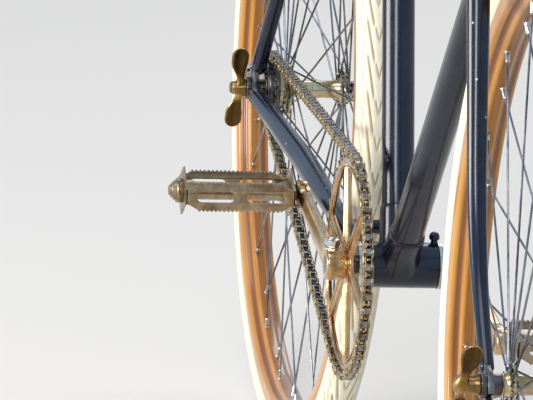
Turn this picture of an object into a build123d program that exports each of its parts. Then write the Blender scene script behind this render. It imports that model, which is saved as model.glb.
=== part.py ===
from build123d import *
import math
import os

# Vintage single-speed racing bicycle with wooden rims and cottered cranks.
# Millimetres, +X forward, +Y to the rider's left, +Z up.
# The drawing's datum is the centre of the bottom bracket. Every piece is moved at the
# end, so that the stored origin is the top of the saddle, where the rider's weight rests.

os.makedirs("parts", exist_ok=True)

# Frame geometry
wheelbase = 1080.0
bottom_bracket_drop = 55.5
seat_angle = 73.0
head_angle = 70.0
fork_rake = 65.0
fork_length = 385.0
seat_tube_length = 560.0

# Frame tubes
seat_tube_diameter = 28.6
down_tube_diameter = 28.6
top_tube_diameter = 25.4
head_tube_diameter = 31.8
head_tube_bore = 28.6
head_tube_below_down_tube = 32.0
head_tube_above_top_tube = 24.0
seat_tube_above_top_tube = 18.0
seat_tube_bore = 26.2
lug_wall = 1.3
lug_reach = 46.0
bracket_socket_reach = 54.0
seat_tube_bore_depth = 90.0

# Chainstays, from the dropout inwards, bowed round the tyre
chainstay_end_diameter = 17.0
chainstay_belly_diameter = 22.0
chainstay_waist_diameter = 18.4
chainstay_belly_back = 270.0
chainstay_belly_offset = 38.5
chainstay_bow_back = 110.0
chainstay_bow_offset = 31.0
chainstay_shell_offset = 19.0
seatstay_diameter = 15.0
seatstay_top_offset = 19.5
seatstay_foot_forward = 7.0
seatstay_foot_inward = 2.5
seatstay_foot_height = 21.0
bridge_diameter = 14.0
chainstay_bridge_back = 95.0
brake_bridge_height = 428.0

# Bottom bracket and cranks
shell_diameter = 40.0
shell_width = 68.0
shell_bore = 34.8
cup_flange = 3.5
spindle_diameter = 15.9
crank_length = 167.5
crank_angle = 8.7
crank_inner_face = 53.5
crank_thickness = 9.5
crank_root_width = 22.0
crank_tip_width = 17.0
crank_boss_diameter = 27.0
crank_boss_inner_face = 47.0
crank_boss_outer_face = 64.5
crank_eye_diameter = 22.0
crank_rib_height = 1.2
crank_rib_start = 24.0
crank_rib_end = 22.0
crank_band_length = 11.0
crank_band_inset = 14.0
cotter_diameter = 8.2
cotter_offset = 9.6

# Chain drive
chain_pitch = 12.7
chain_links = 108
chainring_teeth = 48
sprocket_teeth = 16
chainring_line = 45.0
sprocket_line = 36.0
tooth_thickness = 2.8
roller_diameter = 7.7
roller_clearance = 0.15
chain_plate_height = 8.6
chain_plate_thickness = 1.3
chain_inner_width = 6.2
chainring_rim_height = 9.0
chainring_arms = 6
chainring_first_arm = 165.0
chainring_boss_diameter = 34.0

# Wheels
tyre_radius = 353.0
tyre_width = 35.0
tyre_facets = 5
rim_bed_depth = 9.5
rim_width = 31.2
rim_cheek_height = 16.9
rim_ridge_height = 6.3
rim_ridge_width = 10.2
spokes_per_wheel = 40
spoke_crossings = 3
spoke_thickness = 1.9
spoke_rim_offset = 2.5
spoke_end_gap = 0.2

# Hubs and axles
axle_diameter = 9.5
running_clearance = 0.1
rear_dropout_inner_face = 51.5
front_end_inner_face = 46.0
dropout_thickness = 5.0
dropout_tongue = 24.0
dropout_stay_tab = 9.0
dropout_stay_tab_width = 10.0
hub_barrel_diameter = 17.5
hub_end_length = 8.0
flange_thickness = 2.4
rear_left_flange = 32.6
rear_right_flange = 21.0
rear_left_flange_diameter = 42.0
rear_right_flange_diameter = 52.0
front_flange = 31.0
front_flange_diameter = 36.0
spoke_hole_inset = 3.6
freewheel_diameter = 36.0
freewheel_outer_face = 45.0
freewheel_shell_diameter = 50.0
locknut_diameter = 17.0
wing_nut_span = 84.0
wing_nut_ear_diameter = 16.0
wing_nut_thickness = 5.0
wing_nut_hub_diameter = 15.0
wing_nut_ear_offset = 10.0
wing_nut_tilt = 20.0
rear_nut_hub_length = 14.0
front_nut_hub_length = 18.0
axle_end_beyond_nut = 1.0
washer_diameter = 21.0
washer_thickness = 4.5

# Fork
blade_top_diameter = 19.0
blade_middle_diameter = 15.6
blade_tip_diameter = 11.5
blade_top_offset = 38.5
blade_knee_offset = 43.0
blade_knee_height = 112.0
blade_bend_radius = 260.0
crown_height = 24.0
crown_width = 21.0
steerer_diameter = 25.4
steerer_bore = 22.4
headset_diameter = 40.0
headset_height = 9.0
headset_gap = 0.3
headset_race_height = 4.0
upper_race_height = 5.0
headset_nut_height = 6.0
headset_nut_width = 31.2

# Handlebar, stem and saddle
stem_reach = 70.0
stem_height = 52.0
stem_diameter = 22.2
stem_arm_diameter = 21.0
stem_insertion = 40.0
stem_clamp_width = 42.0
stem_clamp_wall = 4.0
stem_cap_diameter = 24.0
stem_cap_height = 14.0
steerer_above_cup = 14.0
bar_diameter = 23.8
bar_width = 400.0
bar_reach = 85.0
bar_drop = 130.0
bar_flat_half_width = 150.0
bar_plain_half_width = 125.0
bar_end_bore = 21.2
bar_end_bore_depth = 20.0
bar_end_back = 45.0
tape_thickness = 2.2
seat_post_diameter = 26.0
seat_post_top = 655.0
seat_post_insertion = 85.0
saddle_length = 275.0
saddle_width = 158.0
saddle_nose_width = 42.0
saddle_height_above_clamp = 52.0
saddle_skirt = 48.0
saddle_seat_share = 0.22
leather_thickness = 5.0
rail_diameter = 7.0
rail_spacing = 44.0
rail_end_inset = 22.0
rail_nose_spacing = 12.0
rail_nose_rise = 24.0
rail_flat_front = 45.0
rail_riser_run = 30.0
rail_riser_spread = 10.0
rail_riser_top = 18.0
saddle_clamp_share = 0.42
saddle_clamp_rise = 8.0
saddle_clamp_diameter = 18.0
saddle_clamp_overhang = 8.0

# Pedals
pedal_inner_face = 68.0
pedal_width = 99.0
pedal_plate_spacing = 50.0
pedal_plate_height = 27.0
pedal_plate_thickness = 1.8
pedal_end_height = 44.0
pedal_barrel_diameter = 19.0
pedal_spindle_diameter = 9.0
pedal_shoulder_diameter = 14.5
dust_cap_diameter = 22.0
dust_cap_length = 12.0


def point(x, y, z):
    return Vector(x, y, z)


def rod(start, end, start_radius, end_radius=None):
    """A round bar or cone frustum from one point to another."""
    end_radius = start_radius if end_radius is None else end_radius
    run = end - start
    seat = Plane(origin=start, z_dir=run)
    if abs(start_radius - end_radius) < 1e-9:
        return Solid.make_cylinder(start_radius, run.length, seat)
    return Solid.make_cone(start_radius, end_radius, run.length, seat)


def turned(profile):
    """A piece turned about the Y axis, from a list of (y, radius) corners."""
    outline = Polyline(*[(radius, y, 0) for y, radius in profile], close=True)
    return revolve(make_face(outline), Axis.Y)


def plate(outline, low, high):
    """A flat plate across the bicycle, from a face drawn in X and Z, between two y values."""
    middle = (low + high) / 2
    drawn = Plane(origin=(0, middle, 0), x_dir=(1, 0, 0), z_dir=(0, -1, 0)) * outline
    return extrude(drawn, amount=(high - low) / 2, both=True)


def bend_places(path, bend_steps):
    """The ends of a path's straight runs, with evenly spaced points round its bends."""
    places = [path @ 0]
    for edge in path.edges():
        steps = bend_steps if edge.geom_type == GeomType.CIRCLE else 1
        places += [edge @ (step / steps) for step in range(1, steps + 1)]
    return places


def stepped_tube(places, radii, across, first_direction=None):
    """A tube through round sections, one at each place, without a twist.

    across is a direction square to the tube at its start. first_direction is the way the first
    section faces, where that isn't along the tube.
    """
    sections = []
    last = len(places) - 1
    for index, (place, radius) in enumerate(zip(places, radii)):
        facing = Vector(0, 0, 0)
        if index:
            facing += (place - places[index - 1]).normalized()
        if index < last:
            facing += (places[index + 1] - place).normalized()
        if index == 0 and first_direction is not None:
            facing = first_direction
        facing = facing.normalized()
        across = (across - facing * across.dot(facing)).normalized()
        sections.append(Plane(origin=place, x_dir=across, z_dir=facing) * Circle(radius))
    return loft(sections, ruled=True)


def bent_taper(corners, bend_radius, radii, bend_steps):
    """Two tapered runs joined by a bend. radii: at the start, the bend and the end."""
    places = bend_places(FilletPolyline(*corners, radius=bend_radius), bend_steps)
    start_radius, bend_radius_of_tube, end_radius = radii
    across = (corners[1] - corners[0]).cross(corners[2] - corners[1]).normalized()
    all_radii = [start_radius] + [bend_radius_of_tube] * (bend_steps + 1) + [end_radius]
    return stepped_tube(places, all_radii, across)


def one(shape):
    """The solids of a shape as a single part, with slivers of a cut left out."""
    solids = [solid for solid in shape.solids() if solid.volume > 1.0]
    return solids[0] if len(solids) == 1 else Compound(children=solids)


def mirrored(shape):
    return mirror(shape, about=Plane.XZ)


# Points of the frame
first_pitch_radius = chain_pitch / (2 * math.sin(math.pi / chainring_teeth))
second_pitch_radius = chain_pitch / (2 * math.sin(math.pi / sprocket_teeth))
ring_step = 360.0 / chainring_teeth
sprocket_step = 360.0 / sprocket_teeth


def chain_length_in_links(centres):
    lean = math.degrees(math.asin((first_pitch_radius - second_pitch_radius) / centres))
    run = math.sqrt(centres**2 - (first_pitch_radius - second_pitch_radius) ** 2)
    wraps = (180 + 2 * lean) / ring_step + (180 - 2 * lean) / sprocket_step
    return 2 * run / chain_pitch + wraps


# The centre distance that closes the chain on a whole number of links
drive_centres = chain_links * chain_pitch / 3
for _ in range(40):
    drive_centres += (chain_links - chain_length_in_links(drive_centres)) * chain_pitch / 2

bracket = point(0, 0, 0)
rear_hub_centre = point(-math.sqrt(drive_centres**2 - bottom_bracket_drop**2), 0, bottom_bracket_drop)
front_hub_centre = point(rear_hub_centre.X + wheelbase, 0, bottom_bracket_drop)

seat_lean = math.radians(seat_angle)
head_lean = math.radians(head_angle)
up_seat_tube = point(-math.cos(seat_lean), 0, math.sin(seat_lean))
up_steering = point(-math.cos(head_lean), 0, math.sin(head_lean))
ahead_of_steering = point(math.sin(head_lean), 0, math.cos(head_lean))
steering_foot = front_hub_centre - ahead_of_steering * fork_rake


def on_steering(height):
    return steering_foot + up_steering * height


def on_seat_tube(distance):
    return up_seat_tube * distance


seat_cluster = on_seat_tube(seat_tube_length)
head_tube_bottom = fork_length + headset_height
down_tube_top = on_steering(head_tube_bottom + head_tube_below_down_tube)
top_tube_on_steering = (seat_cluster.Z - steering_foot.Z) / up_steering.Z
top_tube_front = on_steering(top_tube_on_steering)
head_tube_top = top_tube_on_steering + head_tube_above_top_tube


tyre_section_radius = tyre_width / 2
tyre_section_centre = tyre_radius - tyre_section_radius
rim_bed_radius = tyre_section_centre - rim_bed_depth
rim_shoulder_radius = rim_bed_radius - rim_cheek_height
rim_ridge_radius = rim_shoulder_radius - rim_ridge_height


def wheel_rim():
    half = rim_width / 2
    ridge = rim_ridge_width / 2
    profile = [
        (-half, rim_bed_radius),
        (-half, rim_shoulder_radius),
        (-ridge, rim_ridge_radius),
        (ridge, rim_ridge_radius),
        (half, rim_shoulder_radius),
        (half, rim_bed_radius),
    ]
    return turned(profile)


def wheel_tyre():
    """A round tubular tyre in flat facets: its foot on the bed of the rim, its crown at full radius."""
    foot_angle = -math.asin(rim_bed_depth / tyre_section_radius)
    step = (math.pi - 2 * foot_angle) / tyre_facets
    profile = []
    for corner in range(tyre_facets + 1):
        angle = foot_angle + corner * step
        y = tyre_section_radius * math.cos(angle)
        radius = tyre_section_centre + tyre_section_radius * math.sin(angle)
        profile.append((y, max(radius, rim_bed_radius)))
    crown = tyre_facets // 2
    for corner in (crown, crown + 1):
        profile[corner] = (profile[corner][0], tyre_radius)
    return turned(profile)


def spoke(start, end):
    """A straight wire between two points, drawn with a square section."""
    run = end - start
    section = Plane(origin=start, z_dir=run) * Rectangle(spoke_thickness, spoke_thickness)
    return extrude(section, amount=run.length)


def wheel_spokes(flanges):
    """Crossed spokes. flanges: rows of (side, flange offset, flange diameter, turn of its first hole)."""
    per_flange = spokes_per_wheel // 2
    hole_step = 360.0 / per_flange
    reach = spoke_crossings * hole_step
    outside = flange_thickness / 2 + spoke_thickness / 2 + 1.4
    inside = flange_thickness / 2 + spoke_thickness / 2 + 0.3
    end_radius = rim_ridge_radius - spoke_end_gap
    wires = []
    for side, offset, diameter, turn in flanges:
        hole_radius = diameter / 2 - spoke_hole_inset
        for hole in range(per_flange):
            leading = hole % 2 == 0
            start_angle = math.radians(turn + hole * hole_step)
            swing = reach if leading else -reach
            end_angle = math.radians(turn + hole * hole_step + swing)
            y = side * (offset + (outside if leading else -inside))
            start = point(hole_radius * math.cos(start_angle), y, hole_radius * math.sin(start_angle))
            end = point(
                end_radius * math.cos(end_angle),
                side * spoke_rim_offset,
                end_radius * math.sin(end_angle),
            )
            wires.append(spoke(start, end))
    return Compound(children=wires)


def hub_bore(low, high):
    return rod(point(0, low, 0), point(0, high, 0), axle_diameter / 2 + running_clearance)


def flange_rows(centre, diameter, barrel):
    """Corners of one flange, from low y to high y."""
    half = flange_thickness / 2
    return [
        (centre - half, barrel),
        (centre - half, diameter / 2),
        (centre + half, diameter / 2),
        (centre + half, barrel),
    ]


def rear_hub():
    """A barrel with two flanges, and the plain body that carries the freewheel."""
    barrel = hub_barrel_diameter / 2
    left_end = rear_left_flange + hub_end_length
    body_end = freewheel_outer_face
    body_foot = rear_right_flange + 3.4
    profile = [(-body_end, axle_diameter / 2)]
    profile += [(-body_end, freewheel_diameter / 2)]
    profile += [(-body_foot, freewheel_diameter / 2)]
    profile += flange_rows(-rear_right_flange, rear_right_flange_diameter, barrel)
    profile += flange_rows(rear_left_flange, rear_left_flange_diameter, barrel)
    profile += [(left_end, barrel), (left_end, axle_diameter / 2)]
    return turned(profile) - hub_bore(-body_end - 1, left_end + 1)


def front_hub():
    barrel = hub_barrel_diameter / 2
    end = front_flange + hub_end_length
    profile = [(-end, axle_diameter / 2), (-end, barrel)]
    profile += flange_rows(-front_flange, front_flange_diameter, barrel)
    profile += flange_rows(front_flange, front_flange_diameter, barrel)
    profile += [(end, barrel), (end, axle_diameter / 2)]
    return turned(profile) - hub_bore(-end - 1, end + 1)


def laced_hub(hub, wires):
    return Compound(children=[one(hub)] + list(wires.solids()))


def axle(left_stop, right_stop, seat, nut_length):
    """A rod with a cone and locknut inside each dropout. Stops are the hub's ends."""
    reach = dropout_thickness + washer_thickness + nut_length + axle_end_beyond_nut
    rod_radius = axle_diameter / 2
    nut = locknut_diameter / 2
    profile = [
        (-seat - reach, 0),
        (-seat - reach, rod_radius),
        (-seat, rod_radius),
        (-seat, nut),
        (-right_stop - 0.3, nut),
        (-right_stop - 0.3, rod_radius),
        (left_stop + 0.3, rod_radius),
        (left_stop + 0.3, nut),
        (seat, nut),
        (seat, rod_radius),
        (seat + reach, rod_radius),
        (seat + reach, 0),
    ]
    return turned(profile)


def wing_nut(seat, hub_length):
    """A two-eared nut and its washer, outside the plate whose outer face is at y = seat."""
    foot = seat + washer_thickness
    ear_radius = wing_nut_ear_diameter / 2
    ear_height = wing_nut_span / 2 - ear_radius
    ear_y = foot + wing_nut_ear_offset
    hub_radius = wing_nut_hub_diameter / 2
    # The wings lie in the plane of the axle: X is along it, Y up the wing
    wing_plane = Plane(origin=(0, 0, 0), x_dir=(0, 1, 0), z_dir=(1, 0, 0))
    root_low = foot + 2.5
    root_high = foot + hub_length - 2
    blade = make_face(
        Polyline(
            (root_low, 0),
            (ear_y - ear_radius * 0.95, ear_height - ear_radius * 0.3),
            (ear_y + ear_radius * 0.95, ear_height - ear_radius * 0.3),
            (root_high, 0),
            close=True,
        )
    )
    upper = blade + Pos(ear_y, ear_height) * Circle(ear_radius)
    outline = upper + mirror(upper, about=Plane.XZ)
    wings = extrude(wing_plane * outline, amount=wing_nut_thickness / 2, both=True)
    collar = rod(point(0, foot, 0), point(0, foot + hub_length, 0), hub_radius)
    washer = rod(point(0, seat, 0), point(0, foot, 0), washer_diameter / 2)
    hole = rod(point(0, seat - 1, 0), point(0, foot + wing_nut_span, 0), axle_diameter / 2)
    nut = (wings + collar + washer) - hole
    return Rot(0, wing_nut_tilt, 0) * nut


def wing_nut_pair(seat, hub_length):
    left = wing_nut(seat, hub_length)
    return Compound(children=[one(left), one(mirrored(left))])


def toothed_outline(teeth, pitch_radius, root_radius, tip_radius, first_gap_angle):
    """Teeth as trapezia between roller gaps. The first gap stands at first_gap_angle."""
    step = 360.0 / teeth
    # share of a step from the gap's middle, and the radius there
    corners = [(0.20, root_radius), (0.41, tip_radius), (0.59, tip_radius), (0.80, root_radius)]
    points = []
    for tooth in range(teeth):
        for share, radius in corners:
            angle = math.radians(first_gap_angle + (tooth + share) * step)
            points.append((radius * math.cos(angle), radius * math.sin(angle)))
    return make_face(Polyline(*points, close=True))


# Where the chain's straight runs leave the pitch circles
run_lean = math.asin((first_pitch_radius - second_pitch_radius) / drive_centres)
centre_line = math.atan2(rear_hub_centre.Z, rear_hub_centre.X)
upper_normal = centre_line - math.pi / 2 + run_lean
lower_normal = centre_line + math.pi / 2 - run_lean


def on_ring(angle, radius):
    return point(radius * math.cos(angle), -chainring_line, radius * math.sin(angle))


def on_sprocket(angle, radius):
    hub = rear_hub_centre
    return point(hub.X + radius * math.cos(angle), -sprocket_line, hub.Z + radius * math.sin(angle))


def roller_places():
    """Rows of (centre, turn) for every roller, link by link round the loop."""
    ring_wrap = (2 * math.pi - (lower_normal - upper_normal)) / math.radians(ring_step)
    sprocket_wrap = (lower_normal - upper_normal) / math.radians(sprocket_step)
    run_links = (chain_links - ring_wrap - sprocket_wrap) / 2
    upper_start = on_ring(upper_normal, first_pitch_radius)
    upper_end = on_sprocket(upper_normal, second_pitch_radius)
    lower_start = on_sprocket(lower_normal, second_pitch_radius)
    lower_end = on_ring(lower_normal, first_pitch_radius)
    places = []
    for link in range(chain_links):
        along = link + 0.5
        if along < ring_wrap:
            angle = upper_normal - along * math.radians(ring_step)
            places.append((on_ring(angle, first_pitch_radius), angle))
            continue
        along -= ring_wrap
        if along < run_links:
            share = along / run_links
            places.append((lower_end * (1 - share) + lower_start * share, lower_normal))
            continue
        along -= run_links
        if along < sprocket_wrap:
            angle = lower_normal - along * math.radians(sprocket_step)
            places.append((on_sprocket(angle, second_pitch_radius), angle))
            continue
        along -= sprocket_wrap
        share = along / run_links
        places.append((upper_end * (1 - share) + upper_start * share, upper_normal))
    return places


def first_ring_gap():
    return math.degrees(upper_normal) - 0.5 * ring_step


def first_sprocket_gap():
    ring_wrap = (2 * math.pi - (lower_normal - upper_normal)) / math.radians(ring_step)
    sprocket_wrap = (lower_normal - upper_normal) / math.radians(sprocket_step)
    run_links = (chain_links - ring_wrap - sprocket_wrap) / 2
    travelled = ring_wrap + run_links
    first_link = math.ceil(travelled - 0.5)
    along = first_link + 0.5 - travelled
    return math.degrees(lower_normal) - along * sprocket_step


def chain_band(side):
    """One row of side plates: a polygon from roller to roller on each wheel, and two straight runs."""
    half_height = chain_plate_height / 2
    inner = side * chain_inner_width / 2
    outer = side * (chain_inner_width / 2 + chain_plate_thickness)
    low, high = min(inner, outer), max(inner, outer)
    rollers = [angle for centre, angle in roller_places() if centre.Y == -chainring_line]
    ring_angles = [upper_normal] + rollers + [lower_normal - 2 * math.pi]
    rollers = [angle for centre, angle in roller_places() if centre.Y == -sprocket_line]
    sprocket_angles = [lower_normal] + rollers + [upper_normal]
    band = None
    for centre, line, radius, angles in (
        (bracket, -chainring_line, first_pitch_radius, ring_angles),
        (rear_hub_centre, -sprocket_line, second_pitch_radius, sprocket_angles),
    ):
        edge = []
        for distance, row in ((radius + half_height, angles), (radius - half_height, reversed(angles))):
            edge += [(centre.X + distance * math.cos(a), centre.Z + distance * math.sin(a)) for a in row]
        wrap = plate(make_face(Polyline(*edge, close=True)), line + low, line + high)
        band = wrap if band is None else band + wrap
    for normal in (upper_normal, lower_normal):
        outward = point(math.cos(normal), 0, math.sin(normal))
        ends = []
        for foot in (on_ring(normal, first_pitch_radius), on_sprocket(normal, second_pitch_radius)):
            corners = [
                foot + outward * height + point(0, y, 0)
                for height, y in (
                    (-half_height, low),
                    (half_height, low),
                    (half_height, high),
                    (-half_height, high),
                )
            ]
            ends.append(Wire.make_polygon(corners))
        band = band + Solid.make_loft(ends, ruled=True)
    return band


def chain():
    half_length = chain_inner_width / 2 + chain_plate_thickness * 0.5
    width = roller_diameter / math.sqrt(2)
    loop = chain_band(1) + chain_band(-1)
    rollers = []
    for centre, angle in roller_places():
        turned_plane = Plane(
            origin=centre,
            x_dir=(math.cos(angle), 0, math.sin(angle)),
            z_dir=(0, 1, 0),
        )
        rollers.append(extrude(turned_plane * Rectangle(width, width), amount=half_length, both=True))
    return loop.fuse(*rollers)


# Past the outermost face of the cranks
crank_outer_reach = crank_boss_outer_face + crank_thickness


def chainring():
    root = first_pitch_radius - roller_diameter / 2 - roller_clearance
    tip = first_pitch_radius + 3.2
    rim = toothed_outline(chainring_teeth, first_pitch_radius, root, tip, first_ring_gap())
    rim_inner = root - chainring_rim_height
    boss = chainring_boss_diameter / 2
    outline = rim - Circle(rim_inner)
    arm_step = 360.0 / chainring_arms
    for arm in range(chainring_arms):
        angle = chainring_first_arm + arm * arm_step
        foot, end = boss - 3, rim_inner + 2
        bar = Polyline((foot, -5.5), (end, -3.2), (end, 3.2), (foot, 5.5), close=True)
        outline = outline + Rot(0, 0, angle) * make_face(bar)
    outline = outline + Circle(boss)
    half = tooth_thickness / 2
    star = plate(outline, -chainring_line - half, -chainring_line + half)
    collar = rod(
        point(0, -crank_boss_inner_face, 0),
        point(0, -chainring_line + 4.5, 0),
        boss - 1,
    )
    bore = rod(point(0, -crank_outer_reach, 0), bracket, spindle_diameter / 2)
    return (star + collar) - bore


def sprocket():
    root = second_pitch_radius - roller_diameter / 2 - roller_clearance
    tip = second_pitch_radius + 3.2
    teeth = toothed_outline(sprocket_teeth, second_pitch_radius, root, tip, first_sprocket_gap())
    half = tooth_thickness / 2
    hub = rear_hub_centre
    inner = freewheel_diameter / 2 + running_clearance
    ring = plate(teeth, -sprocket_line - half, -sprocket_line + half)
    low = -freewheel_outer_face + 1.5
    shell = rod(point(hub.X, low, hub.Z), point(hub.X, -sprocket_line + 5, hub.Z), freewheel_shell_diameter / 2)
    hole = rod(point(hub.X, low - 1, hub.Z), point(hub.X, 0, hub.Z), inner)
    return (Pos(hub.X, 0, hub.Z) * ring + shell) - hole


def crank_arm():
    """The right arm, drawn pointing along -X, with a raised rib and a squared end."""
    root = crank_root_width / 2
    tip = crank_tip_width / 2
    inner = -crank_inner_face
    outer = -crank_inner_face - crank_thickness
    blade = make_face(
        Polyline((0, -root), (-crank_length, -tip), (-crank_length, tip), (0, root), close=True)
    )
    arm = plate(blade, outer, inner)
    rib_end = crank_length - crank_rib_end
    rib = make_face(
        Polyline((-crank_rib_start, -4), (-rib_end, -3), (-rib_end, 3), (-crank_rib_start, 4), close=True)
    )
    arm = arm + plate(rib, outer - crank_rib_height, outer)
    eye = rod(
        point(-crank_length, outer, 0),
        point(-crank_length, inner, 0),
        crank_eye_diameter / 2,
    )
    band_outline = Rectangle(crank_band_length, crank_tip_width + 3)
    band = plate(Pos(-crank_length + crank_band_inset, 0) * band_outline, outer - 1, inner + 0.6)
    boss = rod(
        point(0, -crank_boss_outer_face, 0),
        point(0, -crank_boss_inner_face, 0),
        crank_boss_diameter / 2,
    )
    arm = arm + eye + band + boss
    arm = arm - rod(point(0, -crank_outer_reach, 0), bracket, spindle_diameter / 2)
    eye_foot = point(-crank_length, -crank_outer_reach, 0)
    arm = arm - rod(eye_foot, point(-crank_length, 0, 0), pedal_spindle_diameter / 2)
    return arm - cotter(-1)


def cotter(side):
    """A tapered cotter pin with its nut, across the crank boss."""
    y = side * (crank_boss_inner_face + crank_boss_outer_face) / 2
    boss = crank_boss_diameter / 2
    pin = rod(point(cotter_offset, y, -boss - 4), point(cotter_offset, y, boss + 9), cotter_diameter / 2)
    nut_plane = Plane(origin=(cotter_offset, y, boss - 0.7), z_dir=(0, 0, 1))
    nut = extrude(nut_plane * RegularPolygon(6.4, 6), amount=7)
    bore = rod(point(0, -crank_outer_reach, 0), point(0, crank_outer_reach, 0), spindle_diameter / 2)
    return (pin + nut) - bore


def pedal_spindle():
    """The right spindle, drawn at the pedal's own centre line."""
    inner = -crank_inner_face - crank_thickness
    tip = -pedal_inner_face - pedal_width - 2
    profile = [
        (-crank_inner_face, 0),
        (tip, 0),
        (tip, pedal_spindle_diameter / 2),
        (-pedal_inner_face + 0.3, pedal_spindle_diameter / 2),
        (-pedal_inner_face + 0.3, pedal_shoulder_diameter / 2),
        (inner, pedal_shoulder_diameter / 2),
        (inner, pedal_spindle_diameter / 2),
        (-crank_inner_face, pedal_spindle_diameter / 2),
    ]
    return turned(profile)


def serrated_plate():
    """The long cage plate, seen along X: saw teeth above and below, two windows."""
    half_width = pedal_width / 2
    half_height = pedal_plate_height / 2
    tooth = 5.0
    count = int((pedal_width - 24) / tooth)
    start = -count * tooth / 2
    top = [(-half_width, 0.35 * half_height)]
    for index in range(count):
        left = start + index * tooth
        top += [(left, half_height), (left + tooth / 2, half_height - 2)]
    top += [(-start, half_height), (half_width, 0.35 * half_height)]
    bottom = [(x, -z) for x, z in reversed(top)]
    sheet = make_face(Polyline(*(top + bottom), close=True))
    window = Rectangle(pedal_width * 0.33, pedal_plate_height * 0.34)
    window = chamfer(window.vertices(), pedal_plate_height * 0.1)
    for side in (-1, 1):
        sheet = sheet - Pos(side * pedal_width * 0.215, 0) * window
    return sheet


def pedal_cage():
    centre_y = -pedal_inner_face - pedal_width / 2
    half_spacing = pedal_plate_spacing / 2
    cage = None
    for side in (-1, 1):
        seat = Plane(origin=(side * half_spacing, centre_y, 0), x_dir=(0, 1, 0), z_dir=(1, 0, 0))
        sheet = extrude(seat * serrated_plate(), amount=pedal_plate_thickness / 2, both=True)
        cage = sheet if cage is None else cage + sheet
    end_length = pedal_plate_spacing + pedal_plate_thickness
    end = chamfer(Rectangle(end_length, pedal_end_height).vertices(), pedal_end_height * 0.3)
    for y in (-pedal_inner_face - pedal_width, -pedal_inner_face - pedal_plate_thickness):
        end_plate = plate(end, y, y + pedal_plate_thickness)
        cage = cage + end_plate
    hole = rod(point(0, -pedal_inner_face - pedal_width - 1, 0), bracket, pedal_barrel_diameter / 2)
    return cage - hole


def pedal_barrel():
    bore = pedal_spindle_diameter / 2 + running_clearance
    barrel = pedal_barrel_diameter / 2
    inner = -pedal_inner_face
    outer = -pedal_inner_face - pedal_width
    profile = [
        (inner, bore),
        (inner, barrel),
        (outer, barrel),
        (outer, dust_cap_diameter / 2),
        (outer - dust_cap_length * 0.45, dust_cap_diameter / 2),
        (outer - dust_cap_length, dust_cap_diameter / 2 - 5),
        (outer - dust_cap_length, 0),
        (outer - 4, 0),
        (outer - 4, bore),
    ]
    return turned(profile)


def seatstay_ends():
    """The foot of the left seatstay on the dropout and its head beside the seat lug."""
    hub = rear_hub_centre
    foot_y = rear_dropout_inner_face + dropout_thickness / 2 - seatstay_foot_inward
    foot = point(hub.X + seatstay_foot_forward, foot_y, hub.Z + seatstay_foot_height)
    head = on_seat_tube(seat_tube_length - 4) + point(-2, seatstay_top_offset, 0)
    return foot, head


def rear_dropout():
    """The left track end: a tongue into each stay and a slot open to the rear."""
    inner = rear_dropout_inner_face
    hub = rear_hub_centre
    foot, head = seatstay_ends()
    run = Vector(head.X - foot.X, head.Z - foot.Z, 0).normalized()
    half_tab = Vector(run.Y, -run.X, 0) * (dropout_stay_tab_width / 2)
    seat = Vector(seatstay_foot_forward, seatstay_foot_height, 0)
    root = seat - run * 3
    tip = seat + run * dropout_stay_tab
    outline = make_face(
        Polyline(
            (-22, 10),
            (-20, 13),
            (0, 15),
            root - half_tab,
            tip - half_tab,
            tip + half_tab,
            root + half_tab,
            (14, 14),
            (dropout_tongue, 6),
            (dropout_tongue, -10),
            (14, -13),
            (-20, -13),
            (-22, -10),
            close=True,
        )
    )
    slot = Pos(-14, 0) * SlotOverall(38, axle_diameter + 0.4)
    return Pos(hub.X, 0, hub.Z) * plate(outline - slot, inner, inner + dropout_thickness)


def chainstay_places():
    """Centres along the left stay, from the dropout's tongue to the bottom bracket's socket."""
    hub = rear_hub_centre
    back = -hub.X
    dropout_middle = rear_dropout_inner_face + dropout_thickness / 2
    rows = (
        (back - dropout_tongue, dropout_middle),
        (chainstay_belly_back, chainstay_belly_offset),
        (chainstay_bow_back, chainstay_bow_offset),
        (shell_diameter / 2 + 3, chainstay_shell_offset),
    )
    return [point(-distance, offset, hub.Z * distance / back) for distance, offset in rows]


def chainstay():
    """The left stay: a swelling run from the dropout, then a narrower bow into its socket."""
    end, belly, bow, socket = chainstay_places()
    places = [end, (end + belly) / 2, belly, (belly + bow) / 2, bow, socket]
    tip = chainstay_end_diameter / 2
    swell = chainstay_belly_diameter / 2
    waist = chainstay_waist_diameter / 2
    radii = [tip, (tip + swell) / 2, swell, (swell + waist) / 2, waist, waist]
    across = point(rear_hub_centre.Z, 0, -rear_hub_centre.X).normalized()
    return stepped_tube(places, radii, across, point(1, 0, 0))


def seatstay():
    foot, head = seatstay_ends()
    return rod(foot, head, seatstay_diameter / 2)


def stay_offset_at(height):
    """Where the left seatstay's centre line is, at a height above the bottom bracket."""
    foot, head = seatstay_ends()
    share = (height - foot.Z) / (head.Z - foot.Z)
    return foot * (1 - share) + head * share


def lug_sleeves(rows):
    """Thin sockets round tubes. rows: start, end, tube diameter."""
    lug = None
    for start, end, diameter in rows:
        sleeve = rod(start, end, diameter / 2 + lug_wall)
        lug = sleeve if lug is None else lug + sleeve
    return lug


# Frame
bracket_left = point(0, shell_width / 2, 0)
bracket_right = point(0, -shell_width / 2, 0)
shell_solid = rod(bracket_right, bracket_left, shell_diameter / 2)
seat_tube_top = seat_tube_length + seat_tube_above_top_tube
seat_tube_solid = rod(bracket, on_seat_tube(seat_tube_top), seat_tube_diameter / 2)
down_tube_solid = rod(bracket, down_tube_top, down_tube_diameter / 2)
top_tube_solid = rod(seat_cluster, top_tube_front, top_tube_diameter / 2)
head_tube_solid = rod(on_steering(head_tube_bottom), on_steering(head_tube_top), head_tube_diameter / 2)
left_seatstay_solid = seatstay()
left_dropout = rear_dropout()

down_direction = (down_tube_top - bracket).normalized()
top_direction = (top_tube_front - seat_cluster).normalized()

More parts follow.
